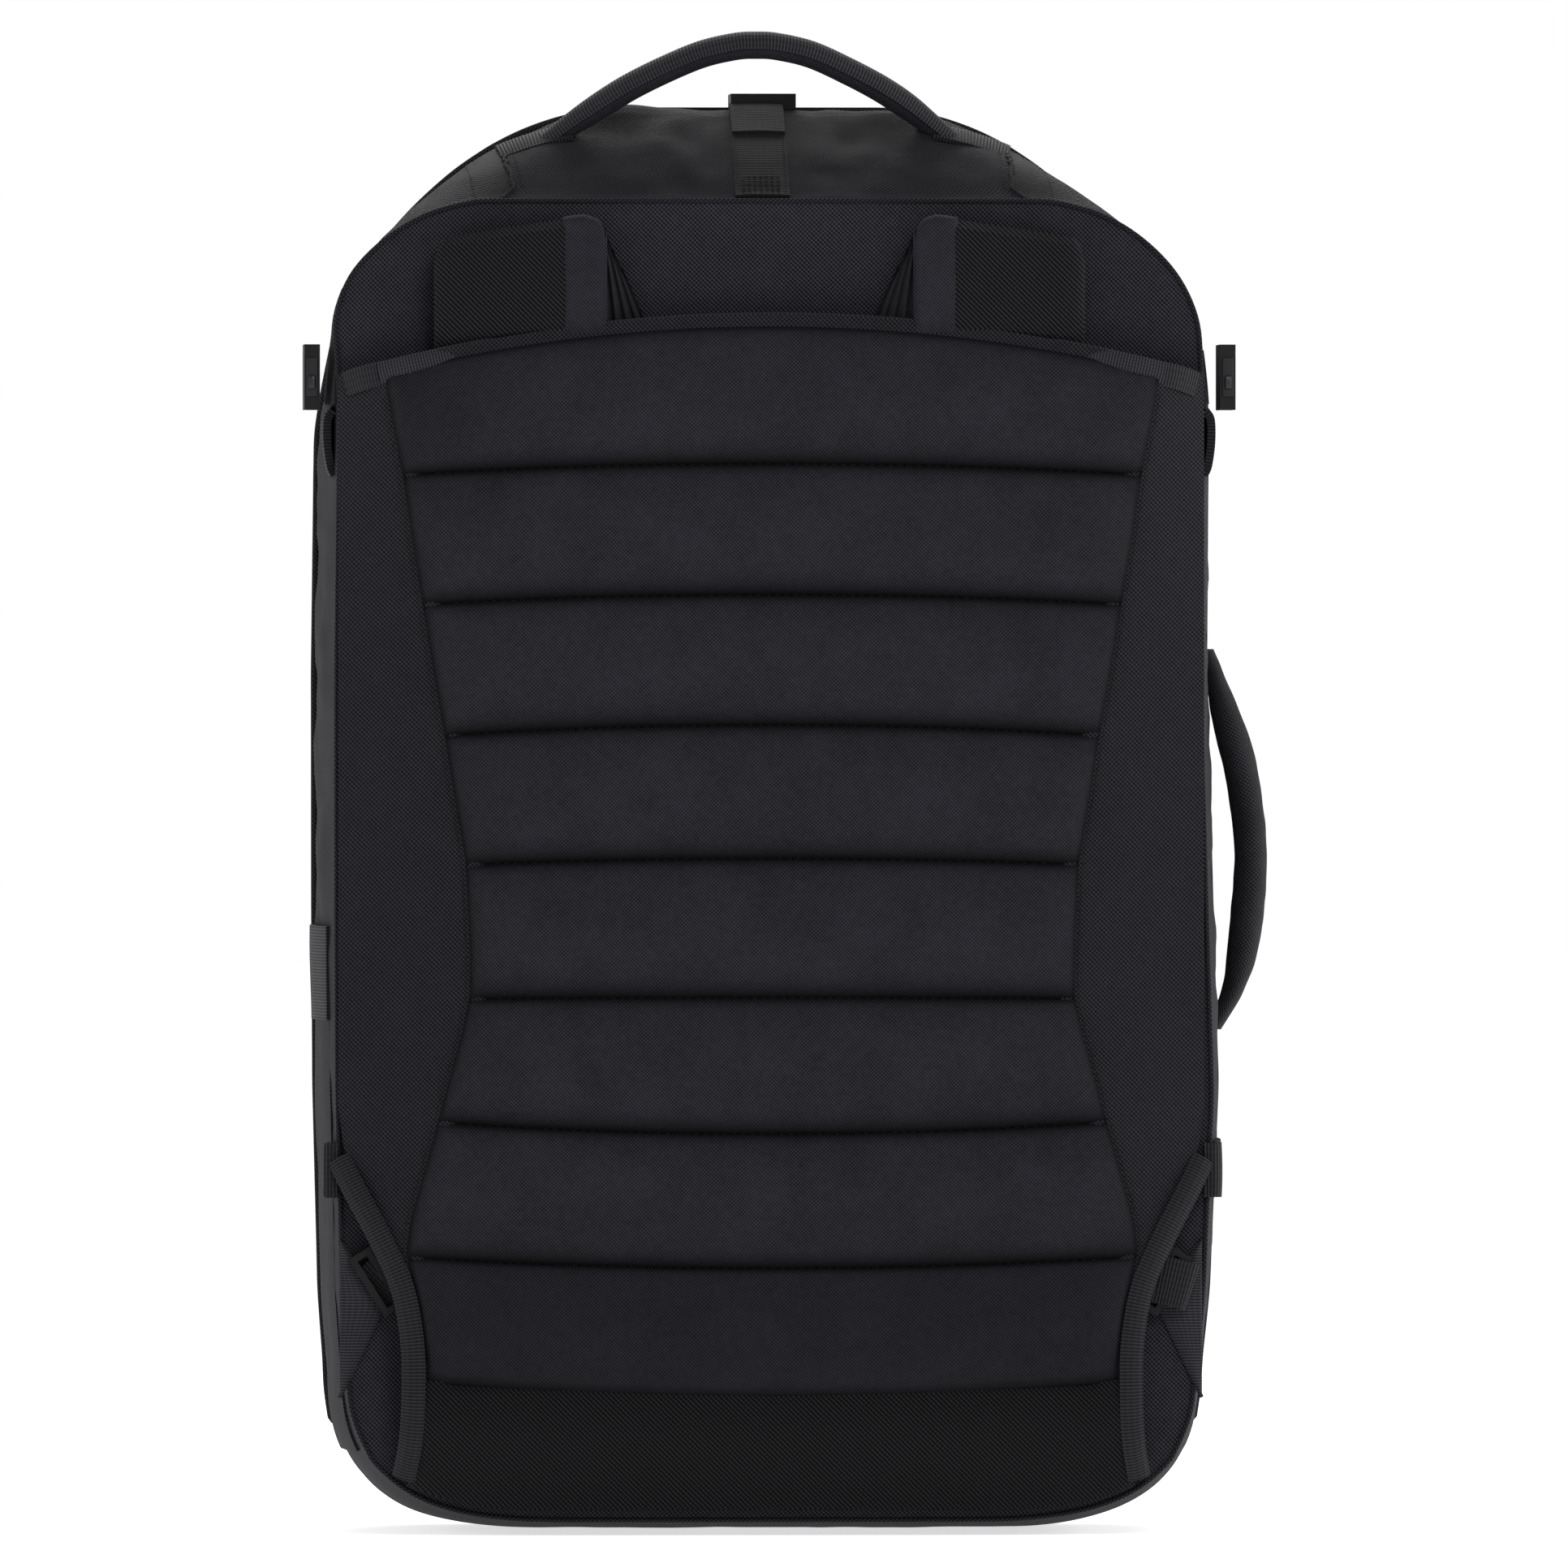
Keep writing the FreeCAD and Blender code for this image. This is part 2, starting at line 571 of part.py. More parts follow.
def buckle(tag, top, centre, start, base):
    """A side-release buckle: an open-sided socket and a tongue that slides out of it."""
    half, thick, wall = d["buckle_wide"] / 2, d["buckle_thick"], d["buckle_wall"]
    socket_end = start + d["socket_long"]
    room = half - 2.6
    shell = block(tag + "_shell", *laid(top, (centre - half, centre + half), (start, socket_end), (base, base + thick)))
    hollow = block(tag + "_hollow", *laid(top, (centre - room, centre + room), (start + 4, socket_end + 1),
                                          (base + wall, base + thick - wall)))
    socket = cut(f"{tag}_socket", shell, hollow)
    tongue_half = d["tongue_wide"] / 2
    tip = socket_end - d["tongue_long"]
    tongue = block(tag + "_tongue", *laid(top, (centre - tongue_half, centre + tongue_half), (tip, socket_end + 1),
                                          (base + wall + d["gap"], base + wall + 1.7)))
    bar_start = socket_end + d["gap"]
    bar = block(tag + "_bar", *laid(top, (centre - half, centre + half), (bar_start, bar_start + d["bar_long"]),
                                    (base, base + thick)))
    slot = block(tag + "_slot", *laid(top, (centre - room, centre + room), (bar_start + 5, bar_start + 8.5),
                                      (base - 1, base + thick + 1)))
    return socket, cut(f"{tag}_tongue_half", fuse(tag + "_male", bar, tongue), slot)


def build_straps_and_buckles():
    top_socket, top_tongue = buckle("top_buckle", True, as_size(0), d["top_buckle_y"], d["top_buckle_z"])
    side_socket, side_tongue = buckle("side_buckle_right", False, d["side_strap_z"], d["side_buckle_y"],
                                      d["side_buckle_x"])
    half = d["webbing_wide"] / 2
    side = (d["panel_seam_x"], REACH)
    straps = [
        patch("side_strap_right", webbing_tube, side, (d["y_rear"], 14),
              (d["side_strap_z"] - half, d["side_strap_z"] + half)),
    ]
    low = (d["lower_strap_z"] - half, d["lower_strap_z"] + half)
    lower = [
        patch("lower_strap_right", webbing_tube, side, (d["y_rear"], 14), low),
        patch("lower_strap_left", webbing_tube, (-REACH, -d["panel_seam_x"]), (d["y_rear"], d["bottle_rear"]), low),
    ]
    tail_x = d["side_buckle_x"] + 1
    tail = block("strap_tail_right", (tail_x, tail_x + 3.2), (d["side_buckle_y"] + 3, d["side_buckle_y"] + 17),
                 (d["side_strap_z"] - 32, d["side_strap_z"] - 12.8))
    straps.append(tail)
    centre = (-half, half)
    lids = patch("lid_strap", webbing_tube, centre, (lid_edge + d["tape"], d["y_front"]), (TALL / 2, TALL))
    rear = patch("top_strap", webbing_tube, centre, (d["y_rear"] + 5, d["top_buckle_y"] - 1), (TALL / 2, TALL))
    return [top_socket, top_tongue, side_socket, mirror("side_buckle_left_socket", side_socket), side_tongue,
            mirror("side_buckle_left_tongue_half", side_tongue), lids, rear, *lower,
            *[piece for right in straps for piece in (right, mirror(right.Label.replace("right", "left"), right))]]


# ---- zips -----------------------------------------------------------------------------------------

def build_main_zip():
    """A tape on each edge, two sliders that meet at the top, and their pullers."""
    whole = (-REACH, REACH)
    x, z = d["slider_x"], d["slider_z"]
    slider = block("zip_slider_right", (x, x + d["slider_long"]),
                   (d["y_zip"] - d["slider_wide"] / 2, d["y_zip"] + d["slider_wide"] / 2), (z, z + d["slider_tall"]))
    start = x + d["slider_long"] + d["gap"]
    half = d["puller_wide"] / 2
    puller_z = z + 0.8
    puller = block("zip_puller_right", (start, start + d["puller_long"]), (d["y_zip"] - half, d["y_zip"] + half),
                   (puller_z, puller_z + d["puller_thick"]))
    return [
        patch("zip_tape_pack", webbing_tube, whole, (pack_edge - d["tape"], pack_edge), (seam_low, TALL)),
        patch("zip_tape_lid", webbing_tube, whole, (lid_edge, lid_edge + d["tape"]), (seam_high, TALL)),
        slider, mirror("zip_slider_left", slider), puller, mirror("zip_puller_left", puller),
    ]


def build_front_pocket():
    """A flat pocket on the lid, its zip slot across the top."""
    face = d["y_front"] + d["pocket_deep"]
    half, low, high, radius, skin = (d["pocket_half"], d["pocket_low"], d["pocket_high"], d["pocket_radius"],
                                     d["pocket_skin"])
    outer = plate("pocket_outside", half, low, high, radius, radius, d["y_front"], face)
    inner = plate("pocket_inside", half - skin, low + skin, high - skin, radius - skin, radius - skin,
                  d["y_front"] - 1, face - skin)
    zip_z, gap = d["pocket_zip_z"], d["pocket_gap"]
    slot = block("pocket_slot", (-d["pocket_zip_half"], d["pocket_zip_half"]), (d["y_front"] + 2, face + 1),
                 (zip_z - gap / 2, zip_z + gap / 2))
    shell = cut("front_pocket", cut("pocket_shell", outer, inner), slot)
    tape = block("pocket_tape_whole", (-d["pocket_zip_half"], d["pocket_zip_half"]), (face, face + 1),
                 (zip_z - gap / 2 - 9, zip_z + gap / 2 + 9))
    slider_y = face + 1 + d["gap"]
    start = -d["pocket_zip_half"] + 2
    long = d["slider_long"]
    slider = block("pocket_slider", (start, start + long), (slider_y, slider_y + d["slider_tall"]),
                   (zip_z - 5, zip_z + 5))
    puller_y = slider_y + 0.8
    puller = block("pocket_puller", (start + long + d["gap"], start + long + d["puller_long"]),
                   (puller_y, puller_y + d["puller_thick"]), (zip_z - d["puller_wide"] / 2, zip_z + d["puller_wide"] / 2))
    slot_again = block("tape_slot", (-REACH, REACH), (-REACH, REACH), (zip_z - gap / 2, zip_z + gap / 2))
    return [shell, cut("pocket_zip_tape", tape, slot_again), slider, puller]


def build_bottle_pocket():
    """A stretch pocket that lies flat on the left side, with a thicker hem."""
    side, deep = (-REACH, -d["panel_seam_x"]), (d["bottle_rear"], pack_edge - d["tape"] - 2)
    top, hem = 232, 20
    return [patch("bottle_pocket", webbing_tube, side, deep, (seam_low + 2, top - hem)),
            patch("bottle_pocket_hem", hem_tube, side, deep, (top - hem, top))]


def main():
    pieces = (build_gussets() + build_bottom_and_front() + build_back() + build_stow_panel() + build_shoulder_straps()
              + build_lower_attachments() + build_top_handle() + build_side_handle() + build_straps_and_buckles()
              + build_main_zip() + build_front_pocket() + build_bottle_pocket())
    doc.recompute()
    failed = [item.Name for item in doc.Objects if {"Invalid", "Error"} & set(item.State)]
    failed += [piece.Label for piece in pieces if piece.Shape.isNull() or not piece.Shape.isValid()]
    if failed:
        raise RuntimeError("not built: " + ", ".join(failed))
    os.makedirs("parts", exist_ok=True)
    for piece in pieces:
        piece.Shape.exportStep(f"parts/{piece.Label}.step")
        box = piece.Shape.BoundBox
        print(f"{piece.Label:32s} solids {len(piece.Shape.Solids)}  {piece.Shape.Volume / 1000:8.2f} cm3  "
              f"x {box.XMin:7.1f} {box.XMax:7.1f}  y {box.YMin:7.1f} {box.YMax:7.1f}  z {box.ZMin:7.1f} {box.ZMax:7.1f}")
    print(len(pieces), "pieces")


main()
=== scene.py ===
# %% [markdown]
# A travel backpack, seen from the side that rests on the wearer's back. The rigid frame comes
# from the CAD parts; this file lays cloth, webbing, zips and pads over it. The pack is one shell:
# a rounded outline that grows and shrinks with depth. One function gives a point on that
# shell, and every gusset, tape, strap and pocket is a grid of cloth laid on it.

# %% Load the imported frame
import bpy
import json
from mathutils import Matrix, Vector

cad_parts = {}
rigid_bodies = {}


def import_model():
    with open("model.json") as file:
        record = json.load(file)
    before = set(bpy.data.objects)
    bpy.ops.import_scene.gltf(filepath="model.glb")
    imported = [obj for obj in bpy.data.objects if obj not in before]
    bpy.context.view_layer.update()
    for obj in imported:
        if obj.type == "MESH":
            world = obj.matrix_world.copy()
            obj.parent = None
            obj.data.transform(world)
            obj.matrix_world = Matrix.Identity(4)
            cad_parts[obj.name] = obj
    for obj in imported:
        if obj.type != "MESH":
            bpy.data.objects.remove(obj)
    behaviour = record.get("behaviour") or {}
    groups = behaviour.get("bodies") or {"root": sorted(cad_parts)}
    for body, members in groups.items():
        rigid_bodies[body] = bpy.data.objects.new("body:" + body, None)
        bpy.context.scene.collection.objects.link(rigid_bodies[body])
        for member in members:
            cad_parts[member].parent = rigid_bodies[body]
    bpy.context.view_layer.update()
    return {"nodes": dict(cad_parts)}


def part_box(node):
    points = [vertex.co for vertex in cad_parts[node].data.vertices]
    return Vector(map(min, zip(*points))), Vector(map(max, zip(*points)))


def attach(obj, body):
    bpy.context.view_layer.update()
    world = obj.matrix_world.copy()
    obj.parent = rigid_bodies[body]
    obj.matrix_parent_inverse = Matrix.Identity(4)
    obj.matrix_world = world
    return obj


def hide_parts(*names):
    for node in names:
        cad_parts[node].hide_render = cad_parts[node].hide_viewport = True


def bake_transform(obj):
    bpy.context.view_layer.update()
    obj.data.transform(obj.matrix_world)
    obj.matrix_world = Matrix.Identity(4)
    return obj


for leftover in list(bpy.data.objects):
    bpy.data.objects.remove(leftover)
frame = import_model()

# %% [markdown]
# Most operators act on whatever is selected, so a few helpers select one piece, add one modifier,
# and apply it. Sizes are written in millimetres and turned into metres in one place.

# %% Helpers that select, shape and finish a piece
import functools
import json
import math

import numpy as np
from mathutils import Vector, noise

MM = 0.001
MIDDLE = (0, 0, 270)
SIDES = ((1, "right"), (-1, "left"))


def only(piece):
    bpy.ops.object.select_all(action="DESELECT")
    piece.select_set(True)
    bpy.context.view_layer.objects.active = piece


def finish_with(piece, kind, **settings):
    """Adds one modifier, sets it and applies it."""
    only(piece)
    modifier = piece.modifiers.new(kind.title(), kind)
    for name, value in settings.items():
        setattr(modifier, name, value)
    bpy.ops.object.modifier_apply(modifier=modifier.name)
    return piece


def smooth(piece, angle=50):
    only(piece)
    bpy.ops.object.shade_smooth_by_angle(angle=math.radians(angle))
    return piece


def flip(piece):
    only(piece)
    bpy.ops.object.mode_set(mode="EDIT")
    bpy.ops.mesh.select_all(action="SELECT")
    bpy.ops.mesh.flip_normals()
    bpy.ops.object.mode_set(mode="OBJECT")
    return piece


def face_away(piece, centre):
    """Turns an open sheet so that its faces look away from a point, given in millimetres."""
    centre = Vector(centre) * MM
    looking = sum(face.normal.dot(face.center - centre) * face.area for face in piece.data.polygons)
    return flip(piece) if looking < 0 else piece


def face_along(piece, index, outward):
    """Turns an open strip so that the face of that index looks outward."""
    return flip(piece) if piece.data.polygons[index].normal.dot(outward) < 0 else piece


def thicken(piece, thickness):
    """Gives a sheet its thickness, on the side away from where its faces look."""
    return finish_with(piece, "SOLIDIFY", thickness=thickness * MM, offset=-1, use_rim=True)


def between(pair, share):
    return pair[0] + (pair[1] - pair[0]) * share


def ease(share):
    """Goes from 0 to 1 with a soft start and a soft end."""
    share = min(max(share, 0.0), 1.0)
    return share * share * (3 - 2 * share)


def bulge(u, v):
    """1 in the middle of a sheet, and 0 at its seams."""
    return math.sqrt(max(math.sin(math.pi * u) * math.sin(math.pi * v), 0))


def wander(*place):
    """Smooth noise round 0, for the small swells that no two pieces of cloth share."""
    return noise.noise(Vector(place))


print("helpers ready")

# %% [markdown]
# A cloth pattern has to keep its size on every panel, so each grid gets a UV map in metres: the
# distance walked along its rows and along its columns. A weave of so many threads a centimetre
# then looks the same on a wide panel and on a narrow tape.

# %% A grid of cloth, laid point by point
def cloth_grid(name, columns, rows, place, closed=False):
    """A grid whose point (u, v), each from 0 to 1, lies at place(u, v) in millimetres."""
    bpy.ops.object.select_all(action="DESELECT")
    bpy.ops.mesh.primitive_grid_add(x_subdivisions=columns, y_subdivisions=rows, size=1)
    piece = bpy.context.object
    piece.name = piece.data.name = name
    for vertex in piece.data.vertices:
        vertex.co = Vector(place(vertex.co.x + 0.5, vertex.co.y + 0.5)) * MM
    lay_uv(piece, columns, rows)
    if closed:
        weld(piece)
    return smooth(piece)


def lay_uv(piece, columns, rows):
    points = np.array([vertex.co for vertex in piece.data.vertices]).reshape(rows + 1, columns + 1, 3)
    across = np.linalg.norm(np.diff(points, axis=1), axis=2)
    along = np.linalg.norm(np.diff(points, axis=0), axis=2)
    u = np.concatenate([[0], np.cumsum(across.mean(axis=0))])
    v = np.concatenate([[0], np.cumsum(along.mean(axis=1))])
    layer = piece.data.uv_layers.active.data
    for loop in piece.data.loops:
        row, column = divmod(loop.vertex_index, columns + 1)
        layer[loop.index].uv = (u[column], v[row])


def lay_flat(piece):
    """Lays the map straight through from the rear, so that threads run true across a shaped panel."""
    layer = piece.data.uv_layers.active.data
    for loop in piece.data.loops:
        spot = piece.data.vertices[loop.vertex_index].co
        layer[loop.index].uv = (spot.x, spot.z)
    return piece


def weld(piece):
    """Closes the seam of a tube by merging the points that lie on each other."""
    only(piece)
    bpy.ops.object.mode_set(mode="EDIT")
    bpy.ops.mesh.select_all(action="SELECT")
    bpy.ops.mesh.remove_doubles(threshold=0.00002)
    bpy.ops.mesh.normals_make_consistent(inside=False)
    bpy.ops.object.mode_set(mode="OBJECT")
    return piece


print("cloth grids ready")

# %% [markdown]
# The outline of the pack at one depth is a rounded box with a wide, soft crown. It is wider and
# taller in the middle of its depth, at the ridge, than at the rear and front seams. Positions
# round the outline count 0 at the middle of the bottom, 1 at the bottom seam, 2 at the top seam,
# 3 at the middle of the top, and on down the other side to 6.

# %% The shell of the pack
REAR, FRONT, ZIP = -84.0, 84.0, 30.0
BOTTOM_SEAM, TOP_SEAM = 30.0, 98.0
STATIONS = {
    "depth": (-84, -50, -5, 30, 60, 84),
    "half": (166.5, 169.7, 171.6, 171.6, 168.4, 160),
    "low": (6, 1.5, 0.5, 0.5, 1.5, 8),
    "high": (507.5, 527, 545, 542.5, 532, 518),
    "foot_wide": (92, 90, 88, 88, 88, 84),
    "foot_tall": (60, 60, 60, 60, 60, 56),
    "foot_soft": (2.8, 2.75, 2.7, 2.7, 2.75, 2.8),
    "crown_wide": (58, 92, 120, 120, 110, 95),
    "crown_tall": (57, 92, 130, 127, 110, 95),
    "crown_soft": (2.0, 1.93, 1.82, 1.82, 1.93, 2.0),
}
CORNER_POINTS = 40
FOOT_TAPER, TAPER_FROM, TAPER_OVER = 0.016, 150, 110
EASE_OVER, REAR_LEAN, RIDGE_LEAN = 7, -2.8, -2.6
SAG = {
    "height": (0, 20, 60, 90, 170, 240, 330, 410, 442, 475, 510, 535),
    "right": (-1.5, -2.5, -3, 0, 3, 0.5, -2.5, -2.5, -2.6, 0, -3, -1),
    "left": (0.5, -3, -3.5, -1.5, 0, 0, -0.5, -2, -2.5, 0, -3.5, -2),
}


def at_depth(name, depth):
    """One measure of the outline at this depth, eased where it changes."""
    near = [min(max(depth + step, REAR), FRONT) for step in (-EASE_OVER, 0, EASE_OVER)]
    return float(np.mean(np.interp(near, STATIONS["depth"], STATIONS[name])))


@functools.lru_cache(maxsize=None)
def rim(depth):
    """Positions round the right half of the outline at this depth, with their x and z."""
    half, low, high = (at_depth(name, depth) for name in ("half", "low", "high"))
    foot_wide, foot_tall, foot_soft = (at_depth("foot_" + name, depth) for name in ("wide", "tall", "soft"))
    wide, tall, soft = (at_depth("crown_" + name, depth) for name in ("wide", "tall", "soft"))
    turn = np.linspace(0, math.pi / 2, CORNER_POINTS)
    sine, cosine = np.sin(turn), np.abs(np.cos(turn))
    x = np.concatenate([[0], half - foot_wide + foot_wide * sine ** (2 / foot_soft),
                        half - wide + wide * cosine ** (2 / soft), [0]])
    z = np.concatenate([[low], low + foot_tall - foot_tall * cosine ** (2 / foot_soft),
                        high - tall + tall * sine ** (2 / soft), [high]])
    x = x * (1 - FOOT_TAPER * np.clip((TAPER_FROM - z) / TAPER_OVER, 0, 1))
    walked = np.concatenate([[0], np.cumsum(np.hypot(np.diff(x), np.diff(z)))])
    crown = CORNER_POINTS + 1
    bottom = np.interp(BOTTOM_SEAM, z[:crown], walked[:crown])
    top = np.interp(-TOP_SEAM, -x[crown:], walked[crown:])
    return np.interp(walked, [0, bottom, top, walked[-1]], [0, 1, 2, 3]), x, z


def on_rim(position, depth):
    """A point of the outline. Its crown leans a little to one side, and its sides sag."""
    position %= 6
    side = 1
    if position > 3:
        side, position = -1, 6 - position
    marks, x, z = rim(round(depth, 1))
    height = float(np.interp(position, marks, z))
    ridge = ease((depth - REAR) / 70) * ease((height - 480) / 35)
    lean = REAR_LEAN * ease((height - 430) / 60) + RIDGE_LEAN * ridge
    half = np.interp(position, marks, x)
    sag = np.interp(height, SAG["height"], SAG["right" if side > 0 else "left"]) * ease(half / 60)
    return Vector((side * (half + sag) + lean, depth, height))


def shell(position, depth, lift=0.0):
    """A point on the shell, or that far outside it."""
    along = on_rim(position + 0.03, depth) - on_rim(position - 0.03, depth)
    deep = on_rim(position, min(depth + 2, FRONT)) - on_rim(position, max(depth - 2, REAR))
    return on_rim(position, depth) + deep.cross(along).normalized() * lift


def height_mark(height, depth):
    """The position on the right half of the outline that lies at this height."""
    marks, x, z = rim(round(depth, 1))
    rising = slice(1, 2 * CORNER_POINTS + 1)
    return float(np.interp(height, z[rising], marks[rising]))


def side_mark(side, height, depth):
    mark = height_mark(height, depth)
    return mark if side > 0 else 6 - mark


def half_at(height, depth, side=1):
    """How far the shell reaches out on one side at this height."""
    return side * on_rim(side_mark(side, height, depth), depth).x


def foot_line(x):
    """The height of the rear outline's lower edge under this x."""
    marks, across, up = rim(REAR)
    return float(np.interp(abs(x), across[:CORNER_POINTS + 1], up[:CORNER_POINTS + 1]))


print("ridge half width", round(half_at(250, -5), 1), "mm, ridge height", round(on_rim(3, -5).z, 1), "mm")

# %% [markdown]
# Shader maths is easier to read as plain expressions. This small class wraps one number of a
# node tree, and each +, -, * or sine of it adds the matching Math node.

# %% Shader maths as expressions
class Number:
    def __init__(self, finish, socket):
        self.finish, self.socket = finish, socket

    def joined(self, operation, *values):
        node = self.finish.node("ShaderNodeMath", {"operation": operation}, *values)
        return Number(self.finish, node.outputs[0])

    def __add__(self, other):
        return self.joined("ADD", self, other)

    def __sub__(self, other):
        return self.joined("SUBTRACT", self, other)

    def __rsub__(self, other):
        return self.joined("SUBTRACT", other, self)

    def __mul__(self, other):
        return self.joined("MULTIPLY", self, other)

    __radd__, __rmul__ = __add__, __mul__

    def sine(self):
        return self.joined("SINE", self)

    def positive(self):
        return self.joined("MAXIMUM", self, 0.0)


class Finish:
    """One material. What is the same all over is set on the shader; what varies is linked to it."""

    def __init__(self, name, **constants):
        self.material = bpy.data.materials.new(name)
        self.material.use_nodes = True
        self.tree = self.material.node_tree
        self.shader = self.tree.nodes["Principled BSDF"]
        for socket, value in constants.items():
            self.shader.inputs[socket.replace("_", " ")].default_value = value

    def node(self, kind, settings, *values, **named):
        node = self.tree.nodes.new(kind)
        for setting, value in settings.items():
            setattr(node, setting, value)
        for socket, value in [*enumerate(values), *named.items()]:
            if isinstance(value, Number):
                value = value.socket
            if isinstance(value, bpy.types.NodeSocket):
                self.tree.links.new(value, node.inputs[socket])
            else:
                node.inputs[socket].default_value = value
        return node

    def place(self, kind):
        return self.node("ShaderNodeTexCoord", {}).outputs[kind]

    def uv(self):
        parts = self.node("ShaderNodeSeparateXYZ", {}, self.place("UV"))
        return Number(self, parts.outputs[0]), Number(self, parts.outputs[1])

    def noise(self, scale, detail=2.0):
        node = self.node("ShaderNodeTexNoise", {}, Vector=self.place("Object"), Scale=scale, Detail=detail)
        return Number(self, node.outputs[0])

    def mixed(self, share, dark, light):
        node = self.node("ShaderNodeMix", {"data_type": "RGBA"})
        self.tree.links.new(share.socket, node.inputs[0])
        node.inputs[6].default_value = (*dark, 1)
        node.inputs[7].default_value = (*light, 1)
        return node.outputs[2]

    def link(self, socket, value):
        self.tree.links.new(value.socket if isinstance(value, Number) else value, self.shader.inputs[socket])

    def bump(self, height, depth, strength=1.0):
        node = self.node("ShaderNodeBump", {}, Height=height, Distance=depth * MM, Strength=strength)
        self.tree.links.new(node.outputs[0], self.shader.inputs["Normal"])


def waves(number, pitch, shift=0.0):
    """A smooth wave from 0 to 1 that repeats every pitch millimetres."""
    return (number * (2 * math.pi / (pitch * MM)) + shift).sine() * 0.5 + 0.5


print("shader maths ready")

# %% [markdown]
# The body cloth is a heavy oxford weave: thick threads that cross in steps, so light catches it
# in short diagonal dashes. The padded centre wears a finer, smoother cloth, and the gussets a
# lighter ripstop. All are near black with a hint of blue, and a little sheen for their fuzz. A
# cloth with painted shade also grows darker where a piece's own 'crease' marks say so: painted
# shade in seams, fold troughs and the lower parts of the panel, and towards the top of the gussets.

# %% Cloth finishes
def woven(name, dark, light, pitch, depth, rough, sheen=0.02, contrast=1.0, with_painted_shade=False, falling=0.58):
    """Threads that cross on the bias: two sets of diagonal waves, the falling one the stronger."""
    finish = Finish(name, Sheen_Weight=sheen, Sheen_Roughness=0.5, Specular_IOR_Level=0.10)
    u, v = finish.uv()
    height = waves(u + v, pitch) * falling + waves(u - v, pitch * 0.96, 1.1) * (1 - falling)
    uneven = finish.noise(60.0, 3.0)
    slubs = finish.noise(420.0, 2.0)
    share = (height - 0.5) * contrast + (slubs - 0.5) * 0.35 + (uneven - 0.5) * 0.35 + 0.5
    if with_painted_shade:
        # The 'crease' attribute holds painted shade: it pulls the weave towards its dark tone.
        marks = finish.node("ShaderNodeAttribute", {"attribute_name": "crease"})
        share = share * (1 - Number(finish, marks.outputs["Fac"]))
    finish.link("Base Color", finish.mixed(share.positive(), dark, light))
    finish.link("Roughness", rough + uneven * 0.12 - height * 0.1)
    finish.bump(height, depth)
    return finish.material


def ribbed(name, dark, light, pitch, warp, depth, rough, sheen):
    """Webbing and grosgrain: ribs across the length, a pitch apart, with threads along it, a warp apart."""
    finish = Finish(name, Sheen_Weight=sheen, Sheen_Roughness=0.5, Specular_IOR_Level=0.18)
    u, v = finish.uv()
    ribs = waves(v, pitch)
    threads = waves(u, warp)
    height = ribs * 0.8 + threads * 0.2
    uneven = finish.noise(70.0, 3.0)
    finish.link("Base Color", finish.mixed(height * 1.1 + uneven * 0.3 - 0.2, dark, light))
    finish.link("Roughness", rough + uneven * 0.1 - ribs * 0.1)
    finish.bump(height, depth)
    return finish.material


oxford = woven("oxford_cloth", (0.0008, 0.0008, 0.0012), (0.0200, 0.0196, 0.0254), 1.75, 0.40, 0.75,
               contrast=1.5)
# Painted light: the same oxford made lighter for the rear wall, which sits in the shade of the panel and
# straps.
lit_wall_oxford = woven("back_wall_painted_light_cloth", (0.0012, 0.0012, 0.0019), (0.0310, 0.0303, 0.0393), 1.75, 0.40, 0.75,
                    contrast=1.5)
# Painted shade: the same oxford made darker for the top, which faces up into the light.
shaded_top_oxford = woven("painted_shade_top_cloth", (0.0006, 0.0006, 0.0010), (0.0180, 0.0175, 0.0225), 1.75, 0.50, 0.75,
                   contrast=1.8)
coarse_oxford = woven("coarse_oxford_cloth", (0.0001, 0.0001, 0.0002), (0.0165, 0.0162, 0.0200), 1.95, 0.60,
                      0.8, contrast=2.8, with_painted_shade=True, falling=0.75)
pad_cloth = woven("fine_pad_cloth", (0.0024, 0.0023, 0.0034), (0.0255, 0.0245, 0.0325), 1.45, 0.25, 0.80,
                  contrast=0.9)
# The quilted cloth is the fine pad cloth with a darker dark tone, which its painted shade can reach.
quilt_cloth = woven("quilted_cloth", (0.0004, 0.0004, 0.0006), (0.0265, 0.0255, 0.0340), 1.45, 0.25, 0.80,
                    contrast=0.9, with_painted_shade=True)
ripstop = woven("ripstop_gusset", (0.0012, 0.0012, 0.0018), (0.0240, 0.0235, 0.0290), 1.6, 0.35, 0.70,
                contrast=1.2, with_painted_shade=True)
lining = woven("lining_cloth", (0.04, 0.042, 0.048), (0.10, 0.105, 0.115), 1.3, 0.10, 0.6, sheen=0.1,
               contrast=0.6)
handle_webbing = ribbed("handle_webbing", (0.0010, 0.0010, 0.0014), (0.0270, 0.0262, 0.0340), 1.3, 2.4, 0.45,
                        0.70, 0.02)
# Painted shade: the webbing made darker for the strap over the top, which faces up into the light.
top_webbing_painted_shade = ribbed("top_webbing_painted_shade", (0.0003, 0.0003, 0.0004), (0.0068, 0.0066, 0.0085), 1.3, 2.4, 0.50,
                     0.75, 0.01)
webbing = ribbed("ribbed_webbing", (0.0006, 0.0006, 0.0009), (0.0170, 0.0165, 0.0215), 1.3, 2.4, 0.45,
                 0.70, 0.01)
grosgrain = ribbed("grosgrain_binding", (0.0014, 0.0014, 0.0021), (0.0300, 0.0290, 0.0372), 1.15, 1.3, 0.20,
                   0.75, 0.02)
coil_tape = ribbed("zip_coil", (0.003, 0.003, 0.004), (0.020, 0.020, 0.024), 1.6, 40.0, 0.5, 0.38, 0.0)
print("cloth finishes:", [m.name for m in (oxford, pad_cloth, ripstop, lining, webbing, grosgrain, coil_tape)])

# %% [markdown]
# The buckles are moulded plastic with a fine spark-eroded texture that is polished on worn
# edges, the sliders are painted metal, and the threads are waxed polyester.

